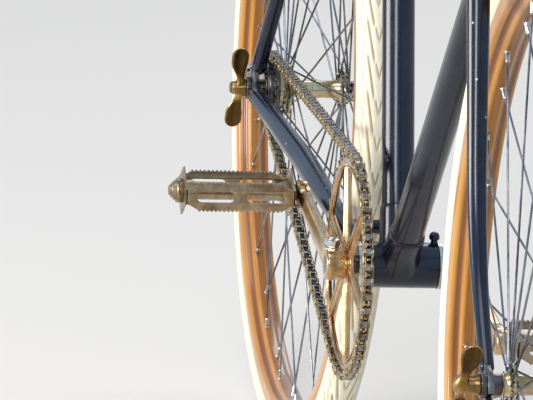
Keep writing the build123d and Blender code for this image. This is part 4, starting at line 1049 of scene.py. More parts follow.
def crank_shape():
    """The right arm along -X: bevelled sides, a raised line along its middle, a squared end."""
    shape = Shape()
    rows = []
    # distance from the axle, half width, extra thickness of the outer face
    stations = ((6.0, 11.0, 0.0), (20.0, 10.9, 0.0), (60.0, 10.2, 0.0), (110.0, 9.3, 0.0))
    stations += ((146.0, 8.7, 0.0), (148.0, 8.7, 0.0), (149.0, 9.6, 0.9), (150.0, 10.0, 1.1))
    stations += ((164.0, 10.0, 1.1), (165.5, 9.6, 0.8))
    for distance, half, extra in stations:
        outer = -CRANK_OUTER - extra
        inner = -CRANK_INNER + (0.5 if extra else 0.0)
        ridge = 1.2 * smooth_step((distance - 14) / 16) * (0.0 if extra > 0.85 else 1.0)
        section = [(-half + 1.0, inner), (-half, inner - 1.2), (-half, outer + 2.6)]
        section += [(-half + 1.6, outer + 0.7), (-1.3, outer - ridge * 0.75), (-0.6, outer - ridge)]
        rows.append([Vector((-distance, y, z)) for z, y in both_ends(section)])
    shape.rings(rows)
    boss = [(-BOSS_OUTER, 8.0), (-BOSS_OUTER, 12.2), (-BOSS_OUTER + 1.0, 13.3)]
    boss += [(-BOSS_OUTER + 2.0, 13.5), (-BOSS_INNER - 2.0, 13.5), (-BOSS_INNER - 1.0, 13.2)]
    boss += [(-BOSS_INNER, 12.4), (-BOSS_INNER, 8.0)]
    shape.lathe(boss, sides=56, loop=True)
    eye = [(-CRANK_OUTER - 0.6, 4.5), (-CRANK_OUTER - 0.6, 9.6), (-CRANK_OUTER, 10.7)]
    eye += [(-CRANK_OUTER + 1.4, 11.0), (-CRANK_INNER - 1.2, 11.0), (-CRANK_INNER - 0.3, 10.4)]
    eye += [(-CRANK_INNER, 9.6), (-CRANK_INNER, 4.5)]
    return shape.lathe(eye, Vector((-CRANK_LENGTH, 0, 0)), sides=48, loop=True)


def cotter_shape():
    """The right cotter pin: a tapered round pin, a hex nut and a washer."""
    centre = Vector((-9.0, -58.0, 0))
    shape = Shape()
    pin = ((-18.0, 3.2), (-17.6, 4.1), (13.0, 4.1), (19.0, 3.1), (22.0, 3.0), (22.5, 2.5))
    disc = ((10.4, 7.4), (10.6, 7.8), (13.2, 7.8), (13.6, 7.2))
    hexagon = ((13.6, 5.9), (14.1, 6.9), (19.4, 6.9), (20.1, 5.8))
    for rows, sides, turn in ((pin, 24, 0.0), (disc, 32, 0.0), (hexagon, 6, 0.2)):
        shape.lathe(rows, centre, AXIS_Z, AXIS_X, sides, turn=turn)
    return shape


PEDAL_INNER = 68.0
PEDAL_WIDTH = 99.0
PEDAL_OUTER = PEDAL_INNER + PEDAL_WIDTH
PLATE_SPACING = 50.0
PLATE_HEIGHT = 27.0
PLATE_THICKNESS = 1.8
END_HEIGHT = 44.0
BARREL_RADIUS = 9.5


def rounded_box(width, height, radius, x=0.0):
    points = []
    steps = 5
    for corner in range(4):
        cx = x + (width / 2 - radius) * (1 if corner in (0, 3) else -1)
        cy = (height / 2 - radius) * (1 if corner in (0, 1) else -1)
        for k in range(steps + 1):
            a = math.radians(90 * corner + 90 * k / steps)
            points.append((cx + radius * math.cos(a), cy + radius * math.sin(a)))
    return points


def cage_plate():
    """The long plate: fine saw teeth above and below, round-ended windows, tapered ends."""
    half = PEDAL_WIDTH / 2
    high = PLATE_HEIGHT / 2
    tooth = 3.75
    count = 20
    start = -count * tooth / 2
    edge = [(-half, high * 0.52), (-half + 4.0, high * 0.58), (start - 1.0, high - 1.6)]
    for k in range(count):
        left = start + k * tooth
        edge += [(left, high - 0.2), (left + tooth * 0.30, high), (left + tooth * 0.62, high - 1.7)]
    edge += [(-start, high - 0.2), (-start + 1.0, high - 1.6)]
    edge += [(half - 4.0, high * 0.58), (half, high * 0.52)]
    outline = list(reversed(edge)) + [(x, -y) for x, y in edge]
    windows = [rounded_box(34.0, 10.0, 4.9, side * 22.5) for side in (-1, 1)]
    return flat_plate([outline] + windows, PLATE_THICKNESS, 0.35)


def end_plate():
    """The cage's side plate: a petal with a point above and below the barrel and low ends."""
    reach = (PLATE_SPACING + PLATE_THICKNESS) / 2
    low = 6.5
    top = []
    for k in range(25):
        share = -1 + 2 * k / 24
        rise = (1 - abs(share)) ** 1.25
        top.append((share * reach, low + (END_HEIGHT / 2 - low) * rise))
    outline = list(reversed(top)) + [(x, -y) for x, y in top]
    return flat_plate([outline, circle(BARREL_RADIUS, 36)], PLATE_THICKNESS, 0.35)


def pedal_cage():
    """Two long plates, two side plates and the folded, riveted tabs that join them."""
    middle_y = -PEDAL_INNER - PEDAL_WIDTH / 2
    edge_x = PLATE_SPACING / 2
    shape = Shape()
    plate = cage_plate()
    for side in (-1, 1):
        shape.join(plate, cross_plane((side * edge_x, middle_y, 0)))
    ends = end_plate()
    for y in (-PEDAL_OUTER + PLATE_THICKNESS / 2, -PEDAL_INNER - PLATE_THICKNESS / 2):
        shape.join(ends, side_plane((0, y, 0)))
    tab = flat_plate([rounded_box(9.0, 12.0, 2.0)], 1.6)
    for side in (-1, 1):
        for y, inwards in ((-PEDAL_OUTER + 1.2, 1), (-PEDAL_INNER - 1.2, -1)):
            shape.join(tab, side_plane((side * (edge_x - 4.0), y + inwards * 1.4, 0)))
            rivet = Vector((side * (edge_x - 4.5), y + inwards * 2.4, 0))
            shape.sphere(rivet, 2.3, 12, 0.5, AXIS_Y)
    return shape


def pedal_barrel():
    """The barrel with its stepped dust cap. Each row: how far out from its end's face, radius."""
    bore = 4.6
    inner = ((0.0, bore), (0.0, 9.2), (-0.4, 9.5), (-8.0, 9.5), (-12.0, 8.0))
    outer = ((14.0, 8.0), (8.0, 9.5), (0.0, 9.5), (0.0, 10.6), (-0.6, 11.0), (-5.0, 11.0))
    outer += ((-5.6, 10.4), (-5.7, 9.0), (-7.6, 8.8), (-8.0, 8.2), (-8.2, 6.9), (-9.6, 6.7))
    outer += ((-10.0, 6.2), (-10.2, 4.8), (-11.6, 4.6), (-12.0, 3.8), (-12.0, 0.6))
    outer += ((-4.0, 0.6), (-4.0, bore))
    rows = [(-PEDAL_INNER + shift, radius) for shift, radius in inner]
    rows += [(-PEDAL_OUTER + shift, radius) for shift, radius in outer]
    return Shape().lathe(rows, sides=48, loop=True)


def pedal_spindle():
    inner = [(-CRANK_INNER, 4.0), (-CRANK_INNER, 4.5)]
    collar = ((0.7, 4.5), (0.7, 6.6), (1.1, 7.2), (4.0, 7.2), (4.4, 6.6), (4.5, 4.5))
    rows = inner + [(-CRANK_OUTER - shift, radius) for shift, radius in collar]
    return Shape().lathe(rows + [(-PEDAL_OUTER - 2.0, 4.5)], sides=24)


for side_name, flip, half_turn in (("right", AS_IT_IS, 0.0), ("left", MIRROR_Y, 180.0)):
    crank_turn = turn_y(CRANK_ANGLE)
    arm_place = crank_turn @ turn_y(half_turn) @ flip
    reach = -CRANK_LENGTH if side_name == "right" else CRANK_LENGTH
    eye_place = crank_turn @ Matrix.Translation((reach, 0, 0)) @ turn_y(-CRANK_ANGLE) @ flip
    eye = eye_place @ Vector((0, 0, 0))
    pedal = side_name + "_pedal"
    pins = ("cotter_pins",) if side_name == "right" else ()
    at_bracket = (arm_place, BRACKET)
    at_eye = (eye_place, eye)
    # name, shape, its place and origin, material, body, slot, what it stands for
    for name, shape, (matrix, origin), material, body, slot, node in (
        ("ridged_crank", crank_shape(), at_bracket, CRANK, "cranks", "warm_nickel", "crank"),
        ("cotter", cotter_shape(), at_bracket, BRIGHT, "cranks", "bright_steel", None),
        ("rat_trap_cage", pedal_cage(), at_eye, PEDAL, pedal, "nickel", "pedal_cage"),
        ("stepped_barrel", pedal_barrel(), at_eye, PEDAL, pedal, "nickel", "pedal_barrel"),
        (
            "turned_spindle", pedal_spindle(), at_eye, DARK, "cranks", "bright_steel",
            "pedal_spindle",
        ),
    ):
        replaced = (side_name + "_" + node,) if node else pins
        placed = Shape().join(shape, matrix)
        make(side_name + "_" + name, placed, material, body, replaced, origin)


# Frame tubes and lugs
def straight_tube(start, end, radius, end_radius=None, sides=48, steps=1):
    end_radius = radius if end_radius is None else end_radius
    spots = [start.lerp(end, k / steps) for k in range(steps + 1)]
    radii = [radius + (end_radius - radius) * k / steps for k in range(steps + 1)]
    return Shape().tube(spots, radii, sides)


def sleeve(start, along, tube_radius, low, high, depth, wall=1.3, flare=0.0, turn=90.0, sides=72):
    """A lug's socket round a tube, its edge thinned and cut to two points.

    depth: how deep the cuts are. flare: how far its foot swells out."""
    along = along.normalized()
    across, up = axes(along, AXIS_Y)
    # whether the row follows the points, shift along the tube, rise over it
    outline = ((0, 0.0, 0.05), (0, 0.0, wall + flare), (0, 7.0, wall + flare * 0.6))
    outline += ((0, 12.0, wall + flare * 0.28),)
    outline += ((0, 18.0, wall + flare * 0.08), (0, 25.0, wall)) if flare else ()
    outline += ((1, -5.0, wall), (1, -1.4, wall * 0.85), (1, -0.3, wall * 0.5), (1, 0.0, 0.05))
    rays = round_line(across, up, sides)
    turns = [2 * math.pi * i / sides - math.radians(turn) for i in range(sides)]
    notches = [depth * (0.5 - 0.5 * math.cos(2 * a)) ** 0.8 for a in turns]
    rows = []
    for at_points, shift, rise in outline:
        ring = []
        for ray, notch in zip(rays, notches):
            distance = (high - notch + shift) if at_points else low + shift
            ring.append(start + along * distance + ray * (tube_radius + rise))
        rows.append(ring)
    return Shape().rings(rows, loop=True)


MAIN_RADIUS = 14.3
TOP_TUBE_RADIUS = 12.7
HEAD_TUBE_RADIUS = 15.9
TOP_DIRECTION = (TOP_TUBE_FRONT - SEAT_CLUSTER).normalized()
DOWN_DIRECTION = DOWN_TUBE_TOP.normalized()
DROPOUT_MIDDLE = 54.0
END_THICKNESS = 5.0
BRAKE_BRIDGE_HEIGHT = 428.0
TRACK_TONGUE = 24.0

down_ends = (DOWN_DIRECTION * 14.0, DOWN_TUBE_TOP - DOWN_DIRECTION * 13.0)
top_ends = (SEAT_CLUSTER + TOP_DIRECTION * 12.0, TOP_TUBE_FRONT - TOP_DIRECTION * 12.0)
for node, (start, end), radius in (
    ("seat_tube", (on_seat_tube(12.0), on_seat_tube(SEAT_TUBE_TOP)), MAIN_RADIUS),
    ("down_tube", down_ends, MAIN_RADIUS),
    ("top_tube", top_ends, TOP_TUBE_RADIUS),
    ("head_tube", (on_steering(HEAD_BOTTOM), on_steering(HEAD_TOP)), HEAD_TUBE_RADIUS),
):
    shape = straight_tube(start, end, radius, sides=64)
    make("painted_" + node, shape, SKY_TINTED_BLACK, "frame", (node,))

lugs = Shape()
# foot, direction, tube radius, start, end, depth of the cuts, wall, flare
for socket in (
    (on_steering(HEAD_BOTTOM + 4), UP_STEERING, HEAD_TUBE_RADIUS, 0.0, 56.0, 10.0),
    (DOWN_TUBE_TOP, -DOWN_DIRECTION, MAIN_RADIUS, 4.0, 47.0, 16.0),
    (on_steering(TOP_TUBE_HEIGHT + 21), -UP_STEERING, HEAD_TUBE_RADIUS, 0.0, 46.0, 10.0),
    (TOP_TUBE_FRONT, -TOP_DIRECTION, TOP_TUBE_RADIUS, 4.0, 47.0, 16.0),
    (on_seat_tube(SEAT_TUBE_TOP), -UP_SEAT_TUBE, MAIN_RADIUS, 0.0, 45.0, 10.0),
    (SEAT_CLUSTER, TOP_DIRECTION, TOP_TUBE_RADIUS, 4.0, 47.0, 16.0),
    (BRACKET, UP_SEAT_TUBE, MAIN_RADIUS, 8.0, 55.0, 3.0, 1.5, 3.6),
    (BRACKET, DOWN_DIRECTION, MAIN_RADIUS, 8.0, 53.0, 5.0, 1.9, 4.2),
):
    lugs.join(sleeve(*socket))
lugs.lathe(both_ends(((-34.0, 17.4), (-34.0, 19.2), (-33.2, 20.0))), sides=72, loop=True)


def stay_height(distance):
    """How high the chainstay's line is, this far behind the bottom bracket."""
    return REAR_HUB.z * distance / -REAR_HUB.x


for sign in (1, -1):
    foot = Vector((-23.0, 19.0 * sign, stay_height(23.0)))
    bow = Vector((-110.0, 31.0 * sign, stay_height(110.0)))
    run = bow - foot
    lugs.join(sleeve(foot, run, 9.2, -run.length * 0.15, run.length * 0.32, 6.0))
    lugs.sphere(foot - run * 0.02, 10.3, 24)
cap_rows = ((18.0, 3.0), (23.0, 3.0), (23.4, 4.2), (24.2, 4.6), (26.4, 4.6), (28.2, 4.0))
cap_rows += ((29.6, 2.8), (30.2, 1.2))
lugs.lathe(cap_rows, AXIS_Y * 31.0, AXIS_Z, AXIS_X, 28)
ear = flat_plate([rounded_box(13.0, 14.0, 4.0)], 5.4, 0.6, 2)
for side in (-4.4, 4.4):
    lugs.join(ear, side_plane(SEAT_CLUSTER + Vector((-19.0, side, 3.0))))
make("pointed_lugs", lugs, SKY_TINTED_BLACK, "frame", ("frame_lugs",))
bolt_rows = both_ends(((-9.2, 3.6), (-8.9, 4.2), (-7.2, 4.3), (-7.1, 2.6)))
bolt = Shape().lathe(bolt_rows, SEAT_CLUSTER + Vector((-21.0, 0, 3.0)), sides=6)
make("seat_bolt", bolt, BRIGHT, "frame", (), SEAT_CLUSTER)


# Stays and dropouts
def stay_line():
    """The left chainstay's centre line, bowed round the tyre, as (places, radii)."""
    rows = ((-REAR_HUB.x - TRACK_TONGUE, DROPOUT_MIDDLE), (270.0, 38.5))
    rows += ((110.0, 31.0), (23.0, 19.0))
    corners = [Vector((-distance, y, stay_height(distance))) for distance, y in rows]
    spots, lengths = resample(fillet(corners, [420.0, 160.0], 8.0), 9.0)
    shares = [length / lengths[-1] for length in lengths]
    swell = [8.5 + 2.5 * smooth_step(share / 0.44) for share in shares]
    return spots, [r - 1.8 * smooth_step((share - 0.5) / 0.28) for r, share in zip(swell, shares)]


def rounded_end(spots, radii, at_start=True):
    """Adds a domed end to a tube's places."""
    first, second = (spots[0], spots[1]) if at_start else (spots[-1], spots[-2])
    radius = radii[0] if at_start else radii[-1]
    out = (first - second).normalized()
    extra = []
    for k in range(1, 6):
        a = math.radians(15 * k)
        extra.append((first + out * (radius * 0.8 * math.sin(a)), radius * math.cos(a)))
    if at_start:
        return [p for p, _ in reversed(extra)] + spots, [r for _, r in reversed(extra)] + radii
    return spots + [p for p, _ in extra], radii + [r for _, r in extra]


spots, radii = rounded_end(*stay_line())
left_stay = Shape().tube(spots, radii, 40)
seat_foot = Vector((REAR_HUB.x + 7.0, DROPOUT_MIDDLE - 3.2, REAR_HUB.z + 21.0))
seat_head = on_seat_tube(556.0) + Vector((-2.0, 19.5, 0))
line = [seat_foot.lerp(seat_head, k / 12) for k in range(13)]
spots, radii = rounded_end(line, [7.5 - 0.9 * smooth_step((k - 10) / 2) for k in range(13)])
spots, radii = rounded_end(spots, radii, False)
left_seatstay = Shape().tube(spots, radii, 36)
for side_name, flip in (("left", AS_IT_IS), ("right", MIRROR_Y)):
    for name, shape, node in (
        ("_bowed_stay", left_stay, "_chainstay"),
        ("_capped_stay", left_seatstay, "_seatstay"),
    ):
        stay = Shape().join(shape, flip)
        make(side_name + name, stay, SKY_TINTED_BLACK, "frame", (side_name + node,))

bridges = Shape()
share = (BRAKE_BRIDGE_HEIGHT - seat_foot.z) / (seat_head.z - seat_foot.z)
brake_end = seat_foot.lerp(seat_head, share)
lower_bridge = (Vector((-95.0, 0, stay_height(95.0))), 29.0, 7.0)
brake_bridge = (Vector((brake_end.x, 0, brake_end.z)), brake_end.y, 5.6)
for centre, reach, radius in (lower_bridge, brake_bridge):
    rows = ((-reach, radius), (-reach * 0.72, radius), (-reach * 0.62, radius * 0.93))
    bridges.lathe(both_ends(rows), centre, sides=32)
make("turned_bridges", bridges, SKY_TINTED_BLACK, "frame", ("stay_bridges",))

DROPOUT_OUTLINE = (
    (-22.0, 9.0), (-21.0, 12.0), (-17.0, 13.4), (-6.0, 14.2), (-1.4, 15.6), (0.6, 18.6),
    (7.4, 31.0), (16.2, 26.4), (13.2, 19.0), (14.6, 13.6), (20.0, 8.6), (32.0, 5.4),
    (32.0, -9.5), (20.0, -11.6), (12.0, -13.2), (-17.0, -13.0), (-21.0, -12.0), (-22.0, -9.0),
    (-22.0, -5.0), (0.0, -5.0), (3.6, -3.5), (5.0, 0.0), (3.6, 3.5), (0.0, 5.0), (-22.0, 5.0),
)
track_end = flat_plate([DROPOUT_OUTLINE], END_THICKNESS, 0.5, 2)
for side_name, sign in (("left", 1), ("right", -1)):
    end_place = REAR_HUB + AXIS_Y * (sign * DROPOUT_MIDDLE)
    shape = Shape().join(track_end, side_plane(end_place))
    node = (side_name + "_rear_dropout",)
    make(side_name + "_track_end", shape, DROPOUT, "frame", node, REAR_HUB)
    # a small eye with its screw, behind the seatstay's foot
    eye = end_place + Vector((-3.0, 0, 19.0))
    shank = ((0.0, 2.4), (8.2 * sign, 2.4))
    head = ((3.4 * sign, 3.0), (3.8 * sign, 4.0), (6.6 * sign, 4.0), (7.6 * sign, 3.0))
    shape = Shape().lathe(both_ends(((-3.4, 4.9), (-3.0, 5.4))), eye, sides=28)
    shape.lathe(shank, eye, sides=16)
    shape.lathe(head, eye, sides=6)
    make(side_name + "_eye_screw", shape, BRIGHT, "frame", (), REAR_HUB)

# Fork
CROWN_HALF = 38.5
KNEE_HALF = 43.0
FORK_END_HALF = 48.5
FORK_KNEE = 112.0
BLADE_TOP = 363.0
END_TONGUE = 16.0


def fork_place(height, offset):
    return on_steering(height) + AXIS_Y * offset


FORK_END_OUTLINE = both_ends((
    (-4.9, -12.0), (-7.8, -10.5), (-10.0, -6.0), (-11.0, 0.0), (-9.6, 6.0), (-6.2, 11.0),
    (-4.6, 18.0), (-4.4, 26.0),
)) + [(4.9, 1.0), (3.5, 4.0), (0.0, 5.0), (-3.5, 4.0), (-4.9, 1.0)]
fork_end = flat_plate([FORK_END_OUTLINE], END_THICKNESS, 0.5, 2)
for side_name, side in (("left", 1), ("right", -1)):
    top = fork_place(BLADE_TOP, side * CROWN_HALF)
    knee = fork_place(FORK_KNEE, side * KNEE_HALF)
    end = FRONT_HUB + AXIS_Y * (side * FORK_END_HALF)
    tip = end + (knee - end).normalized() * END_TONGUE
    spots, lengths = resample(fillet([top, knee, tip], [260.0], 8.0), 9.0)
    radii = []
    for length in lengths:
        share = length / lengths[-1]
        slim = 1.7 * smooth_step(share / 0.62)
        radii.append(9.5 - slim - 2.05 * smooth_step((share - 0.55) / 0.45))
    spots, radii = rounded_end(spots, radii, False)
    blade = Shape().tube(spots, radii, 36)
    node = (side_name + "_fork_blade",)
    make(side_name + "_curved_blade", blade, SKY_TINTED_BLACK, "fork", node, STEERING_FOOT)
    lean = math.atan2((knee - end).x, (knee - end).z)
    shape = Shape().join(fork_end, side_plane(end) @ Matrix.Rotation(-lean, 4, "Z"))
    node = (side_name + "_fork_end",)
    make(side_name + "_slotted_end", shape, DROPOUT, "fork", node, FRONT_HUB)

# height, how much wider than the waist
CROWN_ROWS = (
    (361.0, -1.2), (362.0, -0.2), (363.0, 0.3), (366.0, 0.5),
    (376.0, -0.4), (382.0, -1.6), (384.4, -3.2), (385.0, -4.4),
)
crown = Shape()
crown_rows = []
for height, grow in CROWN_ROWS:
    ring = []
    for i in range(64):
        angle = 2 * math.pi * i / 64
        sideways = math.cos(angle)
        shoulder = CROWN_HALF * (1 if sideways > 0 else -1) * min(1.0, abs(sideways) * 6)
        waist = 1 - 0.12 * smooth_step((0.9 - abs(sideways)) / 0.9)
        radius = 11.2 + grow
        x = radius * math.sin(angle) * waist
        ring.append(fork_place(height, shoulder + radius * sideways) + AHEAD_OF_STEERING * x)
    crown_rows.append(ring)
crown.rings(crown_rows)
for side in (1, -1):
    top = fork_place(366.0, side * CROWN_HALF)
    down_blade = (fork_place(FORK_KNEE, side * KNEE_HALF) - top).normalized()
    crown.join(sleeve(top, down_blade, 9.5, 0.0, 26.0, 12.0, 1.2, turn=0.0, sides=48))
make("shouldered_crown", crown, SKY_TINTED_BLACK, "fork", ("fork_crown",), STEERING_FOOT)

# Stem, bar and its wrapping
stem_head = on_steering(STEM_TOP)
stem = straight_tube(on_steering(HEAD_TOP - 38), stem_head, 11.1, sides=40)
cap_rows = ((-13.0, 11.2), (-12.0, 12.0), (12.0, 12.0), (13.4, 11.4), (14.0, 10.0))
stem.lathe(cap_rows, stem_head, UP_STEERING, AXIS_Y, 40)
stem.join(straight_tube(stem_head, BAR_CENTRE - AXIS_X * 9, 10.9, 10.2, 40, 6))
clamp_rows = both_ends(((-21.0, 12.0), (-21.0, 14.6), (-20.2, 15.6), (-19.0, 15.9)))
stem.lathe(clamp_rows, BAR_CENTRE, sides=56, loop=True)
bolt_rows = ((0.0, 4.2), (10.5, 4.2), (11.0, 3.6))
stem.lathe(bolt_rows, on_steering(STEM_TOP + 8), UP_STEERING, AXIS_Y, 6)
make("forged_stem", stem, BRIGHT, "fork", ("stem",), BAR_CENTRE)
bar_rows = both_ends(((-126.0, 11.9), (-60.0, 11.9), (-56.0, 12.0)))
bar = Shape().lathe(bar_rows, BAR_CENTRE, sides=48)
make("plain_bar", bar, BRIGHT, "fork", ("handlebar",), BAR_CENTRE)

BAR_HALF = 200.0
WRAP_PITCH = 17.0
WRAP_RADIUS = 13.25
WRAP_LAP = 0.85
LAP_SHARE = 0.92


def wrapped_drop(side):
    """One drop in a helical wrapping, each turn lapped over the last, with an open end."""
    corners = ((0, 125.0, 0), (0, 150.0, 0), (85.0, BAR_HALF, -12.0))
    corners += ((97.0, BAR_HALF, -130.0), (-45.0, BAR_HALF, -140.0))
    corners = [BAR_CENTRE + Vector((x, side * y, z)) for x, y, z in corners]
    spots, lengths = resample(fillet(corners, [16.0, 44.0, 46.0], 3.0), 1.7)
    sides = 40
    rows = []
    across = None
    last = len(spots) - 1
    for index, (spot, length) in enumerate(zip(spots, lengths)):
        along = (spots[min(index + 1, last)] - spots[max(index - 1, 0)]).normalized()
        across, up = axes(along, across or AXIS_Z)
        ring = []
        for i, ray in enumerate(round_line(across, up, sides)):
            lap = (length / WRAP_PITCH + side * i / sides) % 1.0
            rise = WRAP_LAP * smooth_step(lap / LAP_SHARE)
            if lap >= LAP_SHARE:
                rise = WRAP_LAP * (1 - (lap - LAP_SHARE) / (1 - LAP_SHARE))
            wave = 0.05 * math.sin(6 * math.pi * i / sides + length * 0.02)
            ring.append(spot + ray * (WRAP_RADIUS + rise + wave))
        rows.append(ring)
    # the open end, turned in
    along = (spots[-1] - spots[-2]).normalized()
    for radius, shift in ((12.9, 0.0), (11.4, -0.2), (10.6, -1.0), (10.6, -20.6)):
        ring = [spots[-1] + along * shift + ray * radius for ray in round_line(across, up, sides)]
        rows.append(ring)
    return Shape().rings(rows)


for side_name, side in (("left", 1), ("right", -1)):
    node = (side_name + "_wrapped_drop",)
    drop = wrapped_drop(side)
    make(side_name + "_taped_drop", drop, TAPE, "fork", node, BAR_CENTRE, 60.0)

# Saddle
CLAMP = on_seat_tube(655.0) + AXIS_Z * 8
SADDLE_TOP = CLAMP.z + 52.0
SADDLE_LENGTH = 275.0
SADDLE_REAR = CLAMP.x - 0.42 * SADDLE_LENGTH
HIDE_THICKNESS = 4.2
# share of the length from the rear, half width, drop below the top, skirt depth
SADDLE_ROWS = (
    (0.00, 66.0, 5.0, 42.0), (0.04, 72.0, 3.0, 46.0), (0.12, 77.5, 0.6, 50.0),
    (0.22, 78.5, 0.2, 52.0), (0.34, 66.0, 1.4, 50.0), (0.46, 48.5, 2.6, 48.0),
    (0.58, 36.0, 3.6, 47.0), (0.70, 28.0, 4.2, 45.0), (0.82, 23.6, 5.2, 42.0),
    (0.92, 21.8, 7.0, 39.0), (0.98, 20.0, 9.0, 36.0), (1.00, 15.5, 11.5, 33.0),
)
# How far round the section the dome reaches, and how much of a quarter turn it takes
DOME = 0.62
DOME_TURN = math.pi / 2 * 0.92


def spline_rows(rows, count):
    """Smoothly filled-in rows of numbers, keyed by their first column."""
    filled = []
    for k in range(count + 1):
        share = k / count
        index = max(i for i in range(len(rows) - 1) if rows[i][0] <= share + 1e-9)
        a, b = rows[index], rows[index + 1]
        before = rows[max(index - 1, 0)]
        after = rows[min(index + 2, len(rows) - 1)]
        run = b[0] - a[0]
        t = (share - a[0]) / run
        t2, t3 = t * t, t * t * t
        values = [share]
        for column in range(1, len(a)):
            slope_a = (b[column] - before[column]) / max(b[0] - before[0], 1e-6) * run
            slope_b = (after[column] - a[column]) / max(after[0] - a[0], 1e-6) * run
            values.append(
                a[column] * (2 * t3 - 3 * t2 + 1)
                + slope_a * (t3 - 2 * t2 + t)
                + b[column] * (3 * t2 - 2 * t3)
                + slope_b * (t3 - t2)
            )
        filled.append(values)
    return filled


def saddle_shape():
    """The stretched leather: a dome that sags a little along its middle, with thin skirts."""
    columns = 36
    rows = []
    for share, half, drop, depth in spline_rows(SADDLE_ROWS, 44):
        x = SADDLE_REAR + share * SADDLE_LENGTH
        shoulder = min(depth * 0.42, half * 0.5)
        outer, inner = [], []
        for i in range(columns + 1):
            v = -1 + 2 * i / columns
            bend = abs(v)
            if bend < DOME:
                u = bend / DOME
                y = half * math.sin(u * DOME_TURN)
                z = -drop - shoulder * (1 - math.cos(u * math.pi / 2)) ** 1.1
            else:
                u = (bend - DOME) / (1 - DOME)
                y = half * (math.sin(DOME_TURN) + 0.008 * math.sin(u * math.pi) - 0.07 * u)
                z = -drop - shoulder - (depth - shoulder) * u
            side = 1 if v >= 0 else -1
            sag = 0.88 * math.sin(math.pi * min(share / 0.9, 1.0)) * (1 - bend)
            top = SADDLE_TOP + z - sag
            inside = max(y - HIDE_THICKNESS * (0.25 + 0.75 * min(bend / 0.5, 1)), 0.0)
            under = top - HIDE_THICKNESS * (1 - min(bend / 0.66, 1.0))
            outer.append(Vector((x, side * y, top)))
            inner.append(Vector((x, side * inside, under)))
        rows.append(outer + list(reversed(inner)))
    return Shape().rings(rows)


node = ("saddle_leather",)
make("tensioned_leather", saddle_shape(), HIDE, "frame", node, CLAMP, 70.0)
rivets = Shape()
rear_out = Vector((-0.35, 0, 1)).normalized()
for y in (-56, -34, -12, 12, 34, 56):
    x, z = {12: (0, 6.6), 34: (1, 9.6), 56: (3, 16)}[abs(y)]
    spot = Vector((SADDLE_REAR + 8.0 + x, y, SADDLE_TOP - z - 1.4))
    rivets.sphere(spot, 5.2, 20, 0.42, rear_out)
nose_out = Vector((0.4, 0, 1)).normalized()
for y in (-9.0, 9.0):
    spot = Vector((SADDLE_REAR + SADDLE_LENGTH - 9.0, y, SADDLE_TOP - 13.5))
    rivets.sphere(spot, 4.2, 20, 0.45, nose_out)
make("copper_rivets", rivets, COPPER, "frame", (), CLAMP)

rails = Shape()
rail_front = SADDLE_REAR + SADDLE_LENGTH - 22
rail_rear = SADDLE_REAR + 22
for side in (1, -1):
    corners = [
        Vector((rail_front, side * 6, CLAMP.z + 24)),
        Vector((CLAMP.x + 45, side * 22, CLAMP.z)),
        Vector((rail_rear + 30, side * 22, CLAMP.z)),
        Vector((rail_rear, side * 32, SADDLE_TOP - 18)),
    ]
    spots = fillet(corners, [60.0, 16.0], 3.0)
    rails.tube(spots, [3.5] * len(spots), 16)
cheeks = both_ends(((-30.0, 6.0), (-29.6, 8.4), (-28.6, 9.0), (-17.0, 9.0), (-16.4, 8.0)))
nuts = both_ends(((-37.0, 4.8), (-36.2, 6.4), (-31.0, 6.4), (-30.6, 3.4)))
post_collar = ((-8.0, 13.0), (-1.0, 13.0), (0.0, 12.0))
rear_bar = both_ends(((-36.0, 3.2), (-35.4, 3.6)))
rear_place = Vector((rail_rear + 2, 0, SADDLE_TOP - 20))
nose_bolt = ((-12.0, 3.0), (22.0, 3.0))
nose_nut = ((0.0, 5.6), (0.6, 6.3), (5.4, 6.3), (6.0, 5.6))
nose_place = Vector((rail_front - 12, 0, CLAMP.z + 23))
for turned_rows in (
    (cheeks, CLAMP, AXIS_Y, AXIS_X, 36),
    (nuts, CLAMP, AXIS_Y, AXIS_X, 6),
    (post_collar, CLAMP, AXIS_Z, AXIS_X, 36),
    (rear_bar, rear_place, AXIS_Y, AXIS_X, 20),
    (nose_bolt, nose_place, AXIS_X, AXIS_Y, 16),
    (nose_nut, nose_place, AXIS_X, AXIS_Y, 6),
):
    rails.lathe(*turned_rows)
make("saddle_rails", rails, BRIGHT, "frame", ("saddle_frame",), CLAMP)

# Construction pieces that are shown as they are
for material, nodes in (
    (BRIGHT, ("bearing_cups", "headset_races", "steerer", "seat_post")),
    (DARK, ("rear_axle", "front_axle", "crank_spindle")),
):
    for node in nodes:
        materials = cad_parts[node].data.materials
        materials.clear()
        materials.append(material)

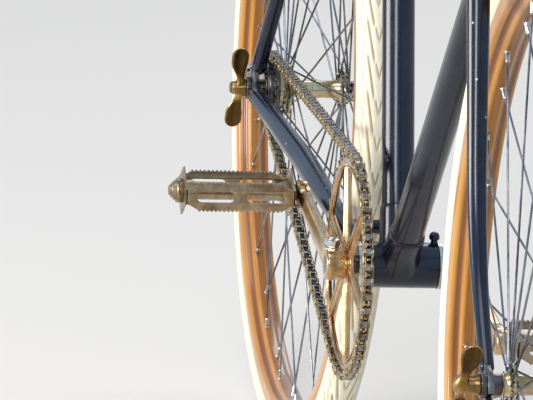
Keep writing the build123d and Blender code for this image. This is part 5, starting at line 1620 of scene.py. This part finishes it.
# Floor, world and lamps
FLOOR_HALF = 30.0
floor_mesh = bpy.data.meshes.new("floor")
floor_z = place((0, 0, GROUND)).z
signs = ((-1, -1), (1, -1), (1, 1), (-1, 1))
corners = [(x * FLOOR_HALF, y * FLOOR_HALF, floor_z) for x, y in signs]
floor_mesh.from_pydata(corners, [], [(0, 1, 2, 3)])
floor = new_object("floor", floor_mesh)
floor_mesh.materials.append(pale_floor("pale_floor", (0.70, 0.69, 0.67, 1.0), 0.20, 0.85))

# The world lights with a soft grey and is seen, also in the paint, as a pale sky
WORLD_LIGHT = (0.38, 0.39, 0.42, 1.0)
WORLD_SEEN = (0.60, 0.78, 1.0, 1.0)
world = bpy.data.worlds.new("studio")
bpy.context.scene.world = world
world.use_nodes = True
tree = world.node_tree
backdrop = tree.nodes["Background"]
backdrop.inputs["Strength"].default_value = 1.0
inputs = {0: seen_directly(tree), 6: WORLD_LIGHT, 7: WORLD_SEEN}
sky = add_node(tree, "ShaderNodeMix", inputs, data_type="RGBA")
tree.links.new(sky.outputs[2], backdrop.inputs["Color"])


def area_lamp(name, spot, aim, size, power, tint, spread=180.0):
    data = bpy.data.lights.new(name, "AREA")
    data.shape = "RECTANGLE"
    data.size, data.size_y = size
    data.energy = power
    data.spread = math.radians(spread)
    data.color = tint
    lamp = new_object(name, data)
    lamp.location = spot
    lamp.rotation_euler = (Vector(aim) - Vector(spot)).to_track_quat("-Z", "Y").to_euler()


# name, place, aim, size in metres, watts, tint, spread in degrees
area_lamp("key", (0.1, -3.5, -0.2), (0.1, 0, -0.24), (1.9, 1.15), 44.0, (1.0, 0.97, 0.91), 116.0)
area_lamp("top", (0.8, -1.2, 3.4), (0.1, 0, -0.5), (2.6, 2.0), 50.0, (1.0, 0.98, 0.95))
area_lamp("fill", (3.5, -1.9, 1.25), (0.5, 0, -0.4), (0.9, 1.7), 74.0, (0.92, 0.96, 1.0))
area_lamp("back", (-3.2, 1.8, 2.4), (0.0, 0, -0.5), (2.0, 2.0), 50.0, (1.0, 0.98, 0.95))

bpy.context.scene.view_settings.view_transform = "Standard"
